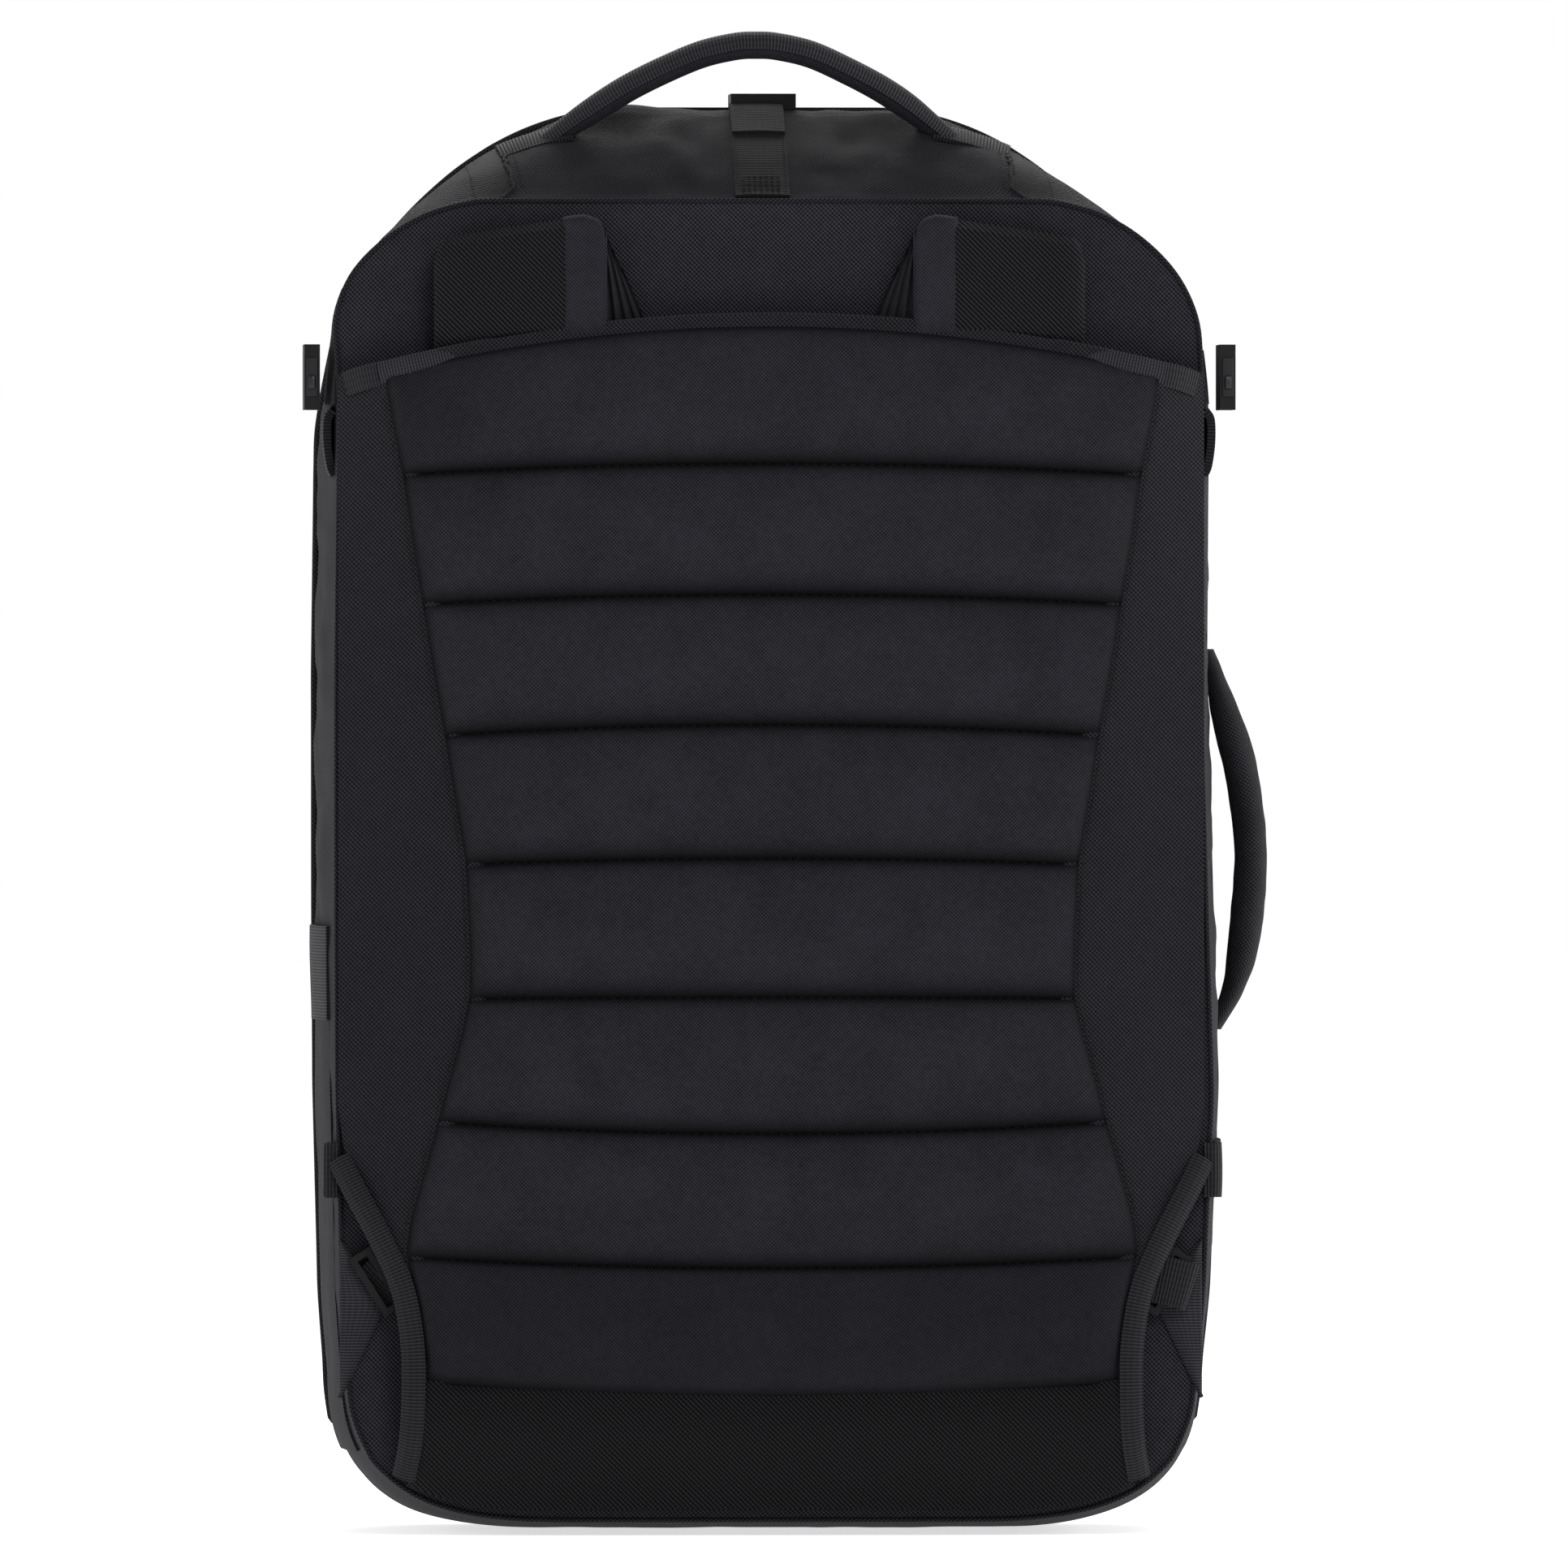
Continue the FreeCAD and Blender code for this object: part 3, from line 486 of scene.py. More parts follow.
# %% Hard finishes and thread
def moulded(name, dark, light, grain, rough, metallic=0.0):
    """Plastic or paint with a fine grain, which varies a little in tone and gloss."""
    finish = Finish(name, Metallic=metallic, Specular_IOR_Level=0.18)
    fine = finish.noise(grain, 3.0)
    broad = finish.noise(60.0, 2.0)
    finish.link("Base Color", finish.mixed(broad, dark, light))
    finish.link("Roughness", rough + fine * 0.12 + broad * 0.1)
    finish.bump(fine, 0.05, 0.5)
    return finish.material


buckle_plastic = moulded("moulded_buckle", (0.0015, 0.0015, 0.002), (0.004, 0.004, 0.005), 2500.0, 0.30)
slider_paint = moulded("slider_paint", (0.02, 0.02, 0.022), (0.05, 0.05, 0.054), 1500.0, 0.25, 0.9)
cord_pull = moulded("pull_cord", (0.008, 0.008, 0.010), (0.020, 0.020, 0.024), 1800.0, 0.55)
thread = moulded("waxed_thread", (0.0010, 0.0010, 0.0014), (0.004, 0.004, 0.005), 3000.0, 0.6)
frame_sheet_plastic = moulded("stiffener_plastic", (0.02, 0.02, 0.022), (0.03, 0.03, 0.034), 1200.0, 0.4)


def dress(piece, material, slot, body=None, replaces=()):
    """Gives a finished piece its material and its place in the frame."""
    piece.data.materials.clear()
    piece.data.materials.append(material)
    if replaces:
        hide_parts(*replaces)
    if body:
        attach(piece, body)
    return piece


def dress_sheet(sheet, skin, *dressing):
    """Gives a sheet its thickness, then its material and its place."""
    return dress(smooth(thicken(sheet, skin)), *dressing)


print("hard finishes:", [m.name for m in (buckle_plastic, slider_paint, cord_pull, thread)])

# %% [markdown]
# The gussets are wide strips of ripstop that run round the pack between the rear seam and the
# zip. Soft cloth between two seams is never flat: it puffs out a little in the middle and
# ripples near the seams. Noise gives the ripples, and a window keeps the seams in place.

# %% Strips of cloth round the shell
GUSSET_SKIN, STRAP_HOLDS = 2.2, 8
# Painted shade on the gussets: the height where it starts, how far up it grows, and its darkest share.
TOP_SHADE_FROM, TOP_SHADE_OVER, TOP_SHADE_DEPTH = 425, 55, 0.70


def mark_painted_shade(piece, closeness):
    """Stores how much painted shade darkens each point, in the 'crease' attribute."""
    layer = piece.data.attributes.new("crease", "FLOAT", "POINT")
    for index in range(len(piece.data.vertices)):
        layer.data[index].value = closeness(index)


def shell_cloth(name, marks, depths, columns, rows, puff=1.5, ripple=1.6, seed=0.0):
    """A strip of the shell between two marks and two depths. The top strap keeps its middle smooth."""
    def place(u, v):
        mark, depth = between(marks, u), between(depths, v)
        window = bulge(u, v)
        where = on_rim(mark, depth)
        waver = wander(where.x / 34 + seed, depth / 30, where.z / 24)
        crease = wander(where.x / 13, depth / 60 + seed, where.z / 9)
        free = window * ease((abs(where.x) - STRAP_HOLDS) / 15)
        return shell(mark, depth, window * puff + free * ripple * (waver + 0.5 * crease))

    piece = face_away(cloth_grid(name, columns, rows, place), MIDDLE)
    points = piece.data.vertices
    # Painted shade: the cloth grows darker towards the top of the pack.
    mark_painted_shade(piece, lambda index: TOP_SHADE_DEPTH * ease((points[index].co.z / MM - TOP_SHADE_FROM) / TOP_SHADE_OVER))
    return smooth(thicken(piece, GUSSET_SKIN))


pack_depths, lid_depths = (REAR, ZIP - 0.3), (ZIP + 0.3, FRONT)
for side, marks in (("right", (1, 2)), ("left", (5, 4))):
    gusset = shell_cloth(f"side_gusset_cloth_{side}", marks, pack_depths, 150, 40, puff=2.0, seed=3.1)
    dress(gusset, ripstop, "ripstop", "pack", [f"side_gusset_{side}"])
    lid_side = shell_cloth(f"lid_side_cloth_{side}", marks, lid_depths, 130, 20, seed=7.7)
    dress(lid_side, ripstop, "ripstop", "lid", [f"lid_side_{side}"])
top = shell_cloth("top_gusset_cloth", (2, 4), pack_depths, 110, 60, puff=1.2, ripple=3.6, seed=1.4)
dress(top, shaded_top_oxford, "oxford", "pack", ["top_gusset"])
lid_top = shell_cloth("lid_top_cloth", (2, 4), lid_depths, 80, 20, puff=0.4, ripple=0.8, seed=5.2)
dress(lid_top, shaded_top_oxford, "oxford", "lid", ["lid_top"])
bottom = shell_cloth("bottom_gusset_cloth", (5, 7), (REAR, FRONT), 120, 50, puff=0.0, ripple=0.5, seed=2.2)
dress(bottom, ripstop, "ripstop", "pack", ["bottom_gusset"])
print("gussets:", [len(o.data.polygons) for o in (gusset, lid_side, top, lid_top, bottom)], "faces")

# %% [markdown]
# The rear and front panels fill the outline. Each row of their grid is as wide as the outline
# is at that height, and rows crowd together near the top and bottom, where the outline turns.

# %% Panels that fill the outline
def outline_panel(name, depth, heights, swell, rows=110, inset=0.0):
    """A sheet between two heights that fills the outline, and swells out in its middle."""
    def place(u, v):
        height = between(heights, 0.5 - 0.5 * math.cos(math.pi * v))
        left, right = inset - half_at(height, depth, -1), half_at(height, depth) - inset
        across = between((left, right), u)
        waver = wander(across / 45, height / 38, depth)
        return Vector((across, depth + bulge(u, v) * (swell + 0.3 * swell * waver), height))

    return face_away(lay_flat(cloth_grid(name, 60, rows, place)), MIDDLE)


rear_top = on_rim(3, REAR).z
rear_wall = outline_panel("rear_wall_cloth", REAR, (at_depth("low", REAR), rear_top - 0.2), -2.2)
dress_sheet(rear_wall, 2, lit_wall_oxford, "oxford", "pack", ["back_wall"])
front_top = on_rim(3, FRONT).z
front_wall = outline_panel("lid_front_cloth", FRONT, (BOTTOM_SEAM + 0.3, front_top - 0.2), 2.0)
dress_sheet(front_wall, 2, oxford, "oxford", "lid", ["lid_front_panel"])
lip = outline_panel("front_lip_cloth", FRONT, (at_depth("low", FRONT), BOTTOM_SEAM - 0.3), 0.6, rows=14)
dress_sheet(lip, 2, ripstop, "ripstop", "pack")
rear_lining = outline_panel("rear_lining", -74.0, (20, 490), 0.8, inset=14)
dress_sheet(rear_lining, 1, lining, "foam", "pack", ["back_foam"])
divider = cloth_grid("divider_cloth", 30, 30, lambda u, v: (
    (2 * u - 1) * 156, -52 - 2.5 * math.sin(math.pi * u) * v, between((70, 345), v)))
dress(thicken(face_away(divider, (0, -90, 200)), 2), lining, "foam", "pack", ["laptop_divider"])
print("rear panel", round(rear_top, 1), "mm high, front panel", round(front_top, 1), "mm high")

# %% [markdown]
# Webbing, bindings and piping all follow a line. A route is a smooth line through a few points,
# a ribbon is a flat strip along it, and a tube is a round or oval cord along it. Stitches are one
# small bead of thread, copied along a route.

# %% Routes, ribbons, tubes and stitches
def route(points):
    """A smooth path through these points, walked at an even pace from 0 to 1."""
    points = np.array(points, float)
    ends = np.vstack([2 * points[0] - points[1], points, 2 * points[-1] - points[-2]])
    samples = []
    for a, b, c, e in zip(ends, ends[1:], ends[2:], ends[3:]):
        for t in np.linspace(0, 1, 14, endpoint=False):
            samples.append(0.5 * (2 * b + (c - a) * t + (2 * a - 5 * b + 4 * c - e) * t ** 2
                                  + (3 * b - a - 3 * c + e) * t ** 3))
    samples = np.array(samples + [points[-1]])
    walked = np.concatenate([[0], np.cumsum(np.linalg.norm(np.diff(samples, axis=0), axis=1))])
    marks = walked / walked[-1]

    def path(share):
        return Vector([np.interp(share, marks, samples[:, axis]) for axis in range(3)])

    path.length = walked[-1]
    return path


def frame_at(path, share, outward):
    """The directions ahead, across and outward at one share of a path."""
    ahead = path(min(share + 0.006, 1)) - path(max(share - 0.006, 0))
    out = Vector(outward(share) if callable(outward) else outward)
    across = out.cross(ahead).normalized()
    return ahead.normalized(), across, ahead.cross(across).normalized()


def ribbon(name, path, outward, width, thick=1.2, crown=0.4, rows=60, columns=6):
    """A strip of webbing along a path, its face looking outward, a little crowned across."""
    def place(u, v):
        ahead, across, out = frame_at(path, v, outward)
        share = 2 * u - 1
        return path(v) + across * (share * width / 2) + out * (crown * (1 - share ** 2))

    piece = cloth_grid(name, columns, rows, place)
    face_along(piece, (rows // 2) * columns + columns // 2, frame_at(path, 0.5, outward)[2])
    return smooth(thicken(piece, thick))


def tube(name, path, radii, rows=80, around=14, up=(0, 0, 1), closed_ends=True):
    """A round or oval cord along a path. radii is (across, up), or a function that gives them."""
    def place(u, v):
        ahead, side, top_way = frame_at(path, v, up)
        wide, tall = radii(v) if callable(radii) else radii
        if closed_ends and (v < 1e-6 or v > 1 - 1e-6):
            wide = tall = 0
        angle = 2 * math.pi * u
        return path(v) + side * (wide * math.cos(angle)) + top_way * (tall * math.sin(angle))

    return smooth(cloth_grid(name, around, rows, place, closed=True), 80)


def stitches(name, paths, gap=3.6, long=2.3, thick=0.6, body="pack", outward=(0, -1, 0)):
    """Runs of thread: one bead is modelled, then copied along each path, a gap apart."""
    bpy.ops.object.select_all(action="DESELECT")
    bpy.ops.mesh.primitive_uv_sphere_add(segments=6, ring_count=4, radius=0.5)
    bead = bpy.context.object
    corners = np.array([vertex.co for vertex in bead.data.vertices]) * (thick, thick, long)
    faces = [tuple(face.vertices) for face in bead.data.polygons]
    points, skins = [], []
    for path in paths:
        for index in range(1, int(path.length / gap)):
            share = index * gap / path.length
            ahead, across, out = frame_at(path, share, outward)
            turn = np.array([across, out, ahead])
            start = len(points)
            points.extend((corners @ turn + np.array(path(share))) * MM)
            skins.extend(tuple(corner + start for corner in face) for face in faces)
    bpy.data.objects.remove(bead)
    mesh = bpy.data.meshes.new(name)
    mesh.from_pydata([tuple(point) for point in points], [], skins)
    piece = bpy.data.objects.new(name, mesh)
    bpy.context.scene.collection.objects.link(piece)
    weld(piece)
    return dress(smooth(piece, 80), thread, "webbing", body)


print("routes ready")

# %% [markdown]
# The stow panel lies over the shoulder straps: a stiff padded panel, arched at the top, that slants
# back to the side seams and is cut away at the lower corners. Its quilted centre is wide at the
# shoulders and hips and narrow at the waist.

# %% The stow panel
PANEL_FACE, PANEL_EDGE_FACE = -101.0, -87.0
PANEL_REACH, PANEL_LOW, PANEL_CREST, PANEL_ARCH = 165.5, 8.5, 466.0, 1180.0
EDGE_HEIGHTS = (9, 25, 40, 55, 75, 95, 114, 131, 143.5)
EDGE_REACH = (140.5, 138.2, 137.2, 136.8, 137.5, 141.5, 150, 159, PANEL_REACH)
PAD_HEIGHTS = (50, 64, 87, 108, 120, 160, 192, 207, 225, 257, 306, 356, 405, 437, 470)
PAD_REACH = (131.5, 131.8, 134.8, 139.5, 138, 127, 118.2, 115.2, 115.3, 117, 125, 133.5, 141, 147, 151)


def panel_top(x):
    return PANEL_CREST - x * x / PANEL_ARCH


def pad_reach(height):
    return float(np.interp(height, PAD_HEIGHTS, PAD_REACH))


def panel_reach(height):
    return float(np.interp(height, EDGE_HEIGHTS, EDGE_REACH))


def panel_face(x, height):
    """The depth of the panel's outer face: sunk behind the pad, slanting to the side seams."""
    edge = pad_reach(height) - 1
    slant = min(max((abs(x) - edge) / (PANEL_REACH - edge), 0), 1)
    tuck = ease((50 - height) / 42)
    under = 3.0 * ease((edge - 3 - abs(x)) / 6) * ease((height - 54) / 6)
    under *= ease((panel_top(x) - 10 - height) / 6)
    return PANEL_FACE + (PANEL_EDGE_FACE - PANEL_FACE) * slant ** 1.25 + 11.5 * tuck + under


def panel_foot(x):
    """The height of the panel's lower edge, just above the rear seam."""
    return max(PANEL_LOW, foot_line(x) + 2.5)


def panel_point(u, v):
    height = between((PANEL_LOW, PANEL_CREST), v)
    for _ in range(3):
        x = (2 * u - 1) * panel_reach(height)
        height = between((panel_foot(x), panel_top(x)), v)
    waver = wander(x / 40, height / 55, 4.0)
    return Vector((x, panel_face(x, height) - 1.3 * waver * bulge(u, v), height))


panel = face_away(lay_flat(cloth_grid("stow_panel_cloth", 120, 150, panel_point)), MIDDLE)
dress_sheet(panel, 3, oxford, "oxford", "pack", ["stow_panel"])
print("stow panel", round(2 * PANEL_REACH), "mm wide and", round(PANEL_CREST - PANEL_LOW), "mm high")

# %% [markdown]
# The quilted pad is foam under a fine cloth, sewn down along seven channels. The seams arch up
# near the top and sag near the hips. Each bar between two seams rises steeply from its
# stitching and is nearly flat on its crown, and small puckers run into the seams, where the thread
# pulls.

# %% The quilted pad
SEAM_MIDDLE = (52.5, 101.7, 153, 205, 258, 309, 358.7, 408.6, 461)
SEAM_EDGE = (58.5, 106, 157.5, 204.5, 255.8, 305, 355, 404.5, 443)
BARS = len(SEAM_MIDDLE) - 1
BAR_ROWS, PAD_COLUMNS, PAD_SWELL, BAR_TALL = 24, 130, 7.4, 51


def pad_height(u, v):
    """How high a point of the pad lies, on a curve between its middle and its edge."""
    knots = np.arange(BARS + 1) / BARS
    middle, edge = np.interp(v, knots, SEAM_MIDDLE), np.interp(v, knots, SEAM_EDGE)
    share = (2 * u - 1) ** 2
    return float(middle + (edge - middle) * share)


def pad_point(u, v):
    height = pad_height(u, v)
    x = (2 * u - 1) * pad_reach(height)
    inside = (v * BARS) % 1.0
    from_seam = min(inside, 1 - inside) * BAR_TALL
    rise = math.sin(math.pi * inside) ** 0.46 if 0 < inside < 1 else 0.0
    sides = (1 - abs(2 * u - 1) ** 16) ** 0.5
    pucker = wander(x / 5.5, height / 26, 9.0) * math.exp(-from_seam / 5.0) * (from_seam > 0.5)
    waver = wander(x / 42, height / 24, 2.0)
    swell = PAD_SWELL * rise * sides * (1 + 0.10 * waver) + 0.5 * pucker * sides
    sunk = 2.0 * (1 - rise) * sides * (0 < v < 1)
    return Vector((x, PANEL_FACE - 0.3 + sunk - swell, height))


def pad_painted_shade(index):
    """Painted shade: it gathers above each seam and stops short below it, and darkens the pad's side edges,
    the lowest bar and the top left, where less light falls.
    """
    row, column = divmod(index, PAD_COLUMNS + 1)
    above, below = row % BAR_ROWS * BAR_TALL / BAR_ROWS, -row % BAR_ROWS * BAR_TALL / BAR_ROWS
    from_side = min(column, PAD_COLUMNS - column) * 2.0
    low_bar_shade = 0.35 * ease(1.6 - row / BAR_ROWS)
    left_top_shade = 0.35 * ease(1 - column / 28) * ease(row / BAR_ROWS - BARS + 1.5)
    return max(math.exp(-(above / 4.6) ** 1.4), math.exp(-below / 1.6), 0.95 * math.exp(-from_side / 2.0),
               low_bar_shade, left_top_shade)


pad = face_away(lay_flat(cloth_grid("quilted_pad_cloth", PAD_COLUMNS, BARS * BAR_ROWS, pad_point)), MIDDLE)
mark_painted_shade(pad, pad_painted_shade)
dress(smooth(thicken(pad, 1.2), 70), quilt_cloth, "pad_cloth", "pack", ["quilted_pad"])
seam_paths = [route([pad_point(u, bar / BARS) + Vector((0, -0.35, 0)) for u in np.linspace(0.035, 0.965, 30)])
              for bar in range(1, BARS)]
stitches("pad_stitching", seam_paths)
edge_paths = [route([pad_point(u, v) + Vector((side * 1.5, -0.3, 0)) for v in np.linspace(0.01, 0.99, 60)])
              for u, side in ((0, -1), (1, 1))]
stitches("pad_edge_stitching", edge_paths, gap=3.0, long=2.1, thick=0.6)


def band_point(u, v):
    """The plain band of coarse cloth between the pad and the panel's foot."""
    x = between((-136, 136), u)
    height = between((panel_foot(x) + 1, pad_height(0.5 + x / (2 * pad_reach(55)), 0) + 0.8), v)
    return Vector((x, panel_face(x, height) - 1.1 - 0.9 * math.sin(math.pi * v) ** 0.5, height))


# Painted shade: the band tilts down from the light, and its weave is pulled halfway to its dark tone.
BAND_PAINTED_SHADE = 0.5
band = face_away(lay_flat(cloth_grid("foot_band_cloth", 90, 30, band_point)), MIDDLE)
mark_painted_shade(band, lambda index: BAND_PAINTED_SHADE)
dress_sheet(band, 0.8, coarse_oxford, "oxford", "pack")
print("quilted pad:", BARS, "bars,", len(pad.data.polygons), "faces")

# %% [markdown]
# Raw edges of heavy cloth are closed with grosgrain binding. The top edge of the panel, its two
# cut-away corners and the short tabs at its shoulders are bound, and a thin piping closes the
# rear seam all the way round.

# %% Bindings and piping
def mirrored(points, side):
    return [(side * x, y, z) for x, y, z in points]


BINDING_WIDE, PIPING = 8.4, 0.95
TAB_RUN = ((148, -100.2, 443.4), (156, -96.5, 441.5), (163, -90.6, 439))
CORNER_RUN = ((165.3, -88.2, 143.5), (159, -93.5, 131), (150, -98.5, 114), (141.5, -101.4, 95),
              (137.6, -102.6, 75), (137, -102.5, 55), (138, -98.5, 36), (140.5, -91.0, 21.5))


def beside(path, move, ends, count):
    """A second route beside the first: move(point) says how far each of its points lies away."""
    return route([path(share) + Vector(move(path(share))) for share in np.linspace(*ends, count)])


top_edge = route([(x, panel_face(x, 440) - 1.0, panel_top(x) - BINDING_WIDE / 2 + 0.6)
                  for x in np.linspace(-150, 150, 31)])
binding = ribbon("panel_top_binding_tape", top_edge, (0, -1, 0.12), BINDING_WIDE, 3.2, 0.9, 160, 8)
dress(binding, grosgrain, "webbing", "pack", ["panel_top_binding"])
binding_seam = beside(top_edge, lambda point: (0, -0.95, -BINDING_WIDE / 2 + 1.3), (0.01, 0.99), 40)
stitches("panel_top_stitching", [binding_seam], gap=2.6, long=1.7, thick=0.45)

corner_seams = []
for side, word in SIDES:
    tab = ribbon(f"binding_tab_{word}", route(mirrored(TAB_RUN, side)), (side * 0.4, -1, 0), 9.5, 1.6, 0.3, 20)
    dress(tab, webbing, "webbing", "pack", ["binding_tabs"] if side > 0 else [])
    corner = route(mirrored(CORNER_RUN, side))
    tape = ribbon(f"corner_binding_tape_{word}", corner, (side * 0.25, -1, 0), 9.3, 2.8, 1.5, 90, 8)
    dress(tape, webbing, "webbing", "pack", [f"corner_binding_{word}"])
    corner_seams.append(beside(corner, lambda point, side=side: (-side * 3.3, -0.75, -0.6), (0.03, 0.97), 30))
stitches("corner_binding_stitching", corner_seams, gap=2.6, long=1.7, thick=0.45)

piping_path = route([shell(mark, REAR, 0.4) + Vector((0, -0.4, 0)) for mark in np.linspace(0, 6, 181)])
piping = tube("rear_seam_piping", piping_path, (PIPING, PIPING), 520, 10, up=(0, -1, 0), closed_ends=False)
dress(piping, oxford, "oxford", "pack", ["rear_piping"])
front_path = route([shell(mark, FRONT, -0.2) for mark in np.linspace(1.05, 4.95, 101)])
front_piping = tube("front_seam_piping", front_path, (1.8, 1.8), 360, 10, up=(0, -1, 0))
dress(front_piping, oxford, "oxford", "lid")
gusset_seams = []
for mark in (2, 4):
    seam_path = route([shell(mark, y, 0.15) for y in np.linspace(REAR + 1, ZIP - 13, 30)])
    dress(tube(f"top_seam_cord_{mark}", seam_path, (0.9, 0.9), 90, 8), oxford, "oxford", "pack")
    gusset_seams += [route([shell(mark + shift, y, 0.7) for y in np.linspace(REAR + 2, ZIP - 14, 30)])
                     for shift in (-0.03, 0.03)]
stitches("top_seam_stitching", gusset_seams, gap=2.8, long=1.8, thick=0.4, outward=(0, 0, 1))


def inside_seam(mark):
    """A point of the rear wall, a stitch's width inside the seam."""
    point = on_rim(mark, REAR)
    return point + Vector((0, -1.1, 0)) + (Vector((0, 0, 290)) - point).normalized() * 4.5


top_row = route([inside_seam(mark) for mark in np.linspace(1.75, 4.25, 60)])
stitches("rear_seam_stitching", [top_row], gap=3.0, long=1.9, thick=0.4)
print("bindings and piping done")

# %% [markdown]
# Each shoulder strap is stowed behind the panel, and only its folded top shows: a flat padded
# roll with a smooth edging down its inner side, and gathered cloth beside that. A padded piece is
# a tube whose section is a flattened oval; at its two ends the section shrinks to close it.

# %% The stowed shoulder straps
def pillow(name, low, top_at, x_pair, faces_at, soft=0.34, rows=90, around=64, crease=0.8, seed=0.0,
           end=0.035):
    """A flat padded piece from low to top_at(x), between x_pair, its faces at depths faces_at(height)."""
    middle_x, half_x = sum(x_pair) / 2, abs(x_pair[1] - x_pair[0]) / 2

    def place(u, v):
        angle = 2 * math.pi * u
        shut = math.sqrt(max(1 - max((abs(2 * v - 1) - 1 + 2 * end) / (2 * end), 0) ** 2, 0))
        wide = half_x * (0.94 + 0.06 * shut)
        across = math.copysign(abs(math.cos(angle)) ** soft, math.cos(angle))
        x = middle_x + wide * across
        height = between((low, top_at(x)), v)
        near, far = faces_at(height)
        thick = (far - near) / 2 * shut * math.copysign(abs(math.sin(angle)) ** 0.62, math.sin(angle))
        waver = wander(x / 24 + seed, height / 20, seed)
        swell = thick * (1 + 0.16 * crease * waver) + 0.4 * crease * waver
        return Vector((x, (near + far) / 2 + swell, height))

    return smooth(lay_flat(cloth_grid(name, around, rows, place, closed=True)), 80)


STRAPS = {"left": (-129, -63.8), "right": (119.5, 54.6)}
FOLD_BAND, STUB_LOW = 16.5, 440
FAN_COLUMNS, FAN_ROWS = 54, 60


def corner_drop(distance, radius):
    """How far a rounded corner has fallen at this distance in from its edge."""
    return radius - math.sqrt(radius ** 2 - max(radius - max(distance, 0), 0) ** 2)


def stowed_strap(side, outer, inner):
    """One shoulder strap, from its outer to its inner x: pad, edging, gathered cloth and anchor."""
    way = math.copysign(1, inner - outer)
    body = f"shoulder_strap_{side}"

    def top(x):
        share = abs(x - outer) / abs(inner - outer)
        return 494.5 + 10 * share - corner_drop(abs(x - outer), 7) - corner_drop(abs(x - inner), 10)

    def faces(height):
        return between((-97.2, -103.4), ease((height - 452) / 14)), -91.4

    roll = pillow(f"shoulder_strap_pad_{side}", 114, top, (outer, inner), faces, rows=120, crease=1.0,
                  seed=2.5, end=0.012)
    dress(roll, coarse_oxford, "oxford", body, [body])

    def band_faces(height):
        near, far = faces(height)
        return near - 1.0, far - 0.5

    edging = pillow(f"shoulder_strap_edging_{side}", STUB_LOW, lambda x: top(x) + 0.9,
                    (inner - way * FOLD_BAND, inner + way * 0.8), band_faces, 0.40, 90, 40, 0.4, end=0.05)
    dress(edging, pad_cloth, "pad_cloth", body)

    def fan_point(u, v):
        """Gathered cloth: folds that start together under the fold and fan out as they go down."""
        height = between((STUB_LOW, 499), v)
        spread = 3 + 24 * (1 - v) ** 0.8
        fold = math.cos(u * 9 * math.pi) * (0.5 + 1.5 * (1 - v)) * (1 - u * 0.4)
        return Vector((inner + way * (spread * u - 2), -97.5 + fold + 5.0 * u ** 2, height - 9 * u ** 2 * v))

    # Painted shade: dark lines in the troughs between the folds.
    def fan_trough_shade(index):
        column = index % (FAN_COLUMNS + 1)
        return 0.95 * math.sin(column / FAN_COLUMNS * 4.5 * math.pi + 0.6) ** 4

    fan = cloth_grid(f"shoulder_strap_gather_{side}", FAN_COLUMNS, FAN_ROWS, fan_point)
    mark_painted_shade(fan, fan_trough_shade)
    dress_sheet(face_away(fan, (0, 0, 470)), 1.0, quilt_cloth, "pad_cloth", body)
    anchor = pillow(f"strap_anchor_cloth_{side}", 426, lambda x: 492, (inner - way * 6, outer + way * 4),
                    lambda height: (-90.4, -85.6), 0.5, 40, 40, 0.3)
    dress(anchor, oxford, "oxford", "pack", [f"strap_anchor_{side}"])


for side, (outer, inner) in STRAPS.items():
    stowed_strap(side, outer, inner)
print("shoulder straps stowed")

# %% [markdown]
# The top handle is a soft roll under a ribbed strap. It rises from two flat ends that are sewn
# into the top seams. The side handle is a padded roll of the same ripstop as the gusset.

# %% The top handle
HANDLE_Y, HANDLE_BASE, HANDLE_LEAN = -30.0, 537.4, math.radians(10)
ARCH = ((-84, -5.5), (-74.5, 1.5), (-64, 8.5), (-53, 15.5), (-40, 22.2), (-25, 28.6), (-12, 31.7), (-4, 32.2),
        (4, 31.7), (17, 28.6), (31, 22.2), (43.5, 15.5), (54, 8.5), (63, 1.5), (72, -5.5))


def leaned(x, y, rise):
    """A point of the handle's own upright plane, leaned back with the handle."""
    return Vector((x, HANDLE_Y + y * math.cos(HANDLE_LEAN) - rise * math.sin(HANDLE_LEAN),
                   HANDLE_BASE + rise * math.cos(HANDLE_LEAN) + y * math.sin(HANDLE_LEAN)))


def handle_out(share):
    """The direction out of the arch at one share of its length."""
    ahead = arch_path(min(share + 0.01, 1)) - arch_path(max(share - 0.01, 0))
    return ahead.cross(leaned(0, 1, 0) - leaned(0, 0, 0))


arch_path = route([leaned(x, 0, rise) for x, rise in ARCH])


def roll_size(share):
    """Half the width and half the height of the roll, which thins towards its ends."""
    along = min(share, 1 - share)
    return 6.6 + 1.8 * ease(along / 0.2), 3.4 + 1.3 * ease(along / 0.16)


grip = tube("top_handle_roll", arch_path, roll_size, 120, 24, up=handle_out)
dress(grip, pad_cloth, "pad_cloth", None, ["top_handle"])
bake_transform(grip)


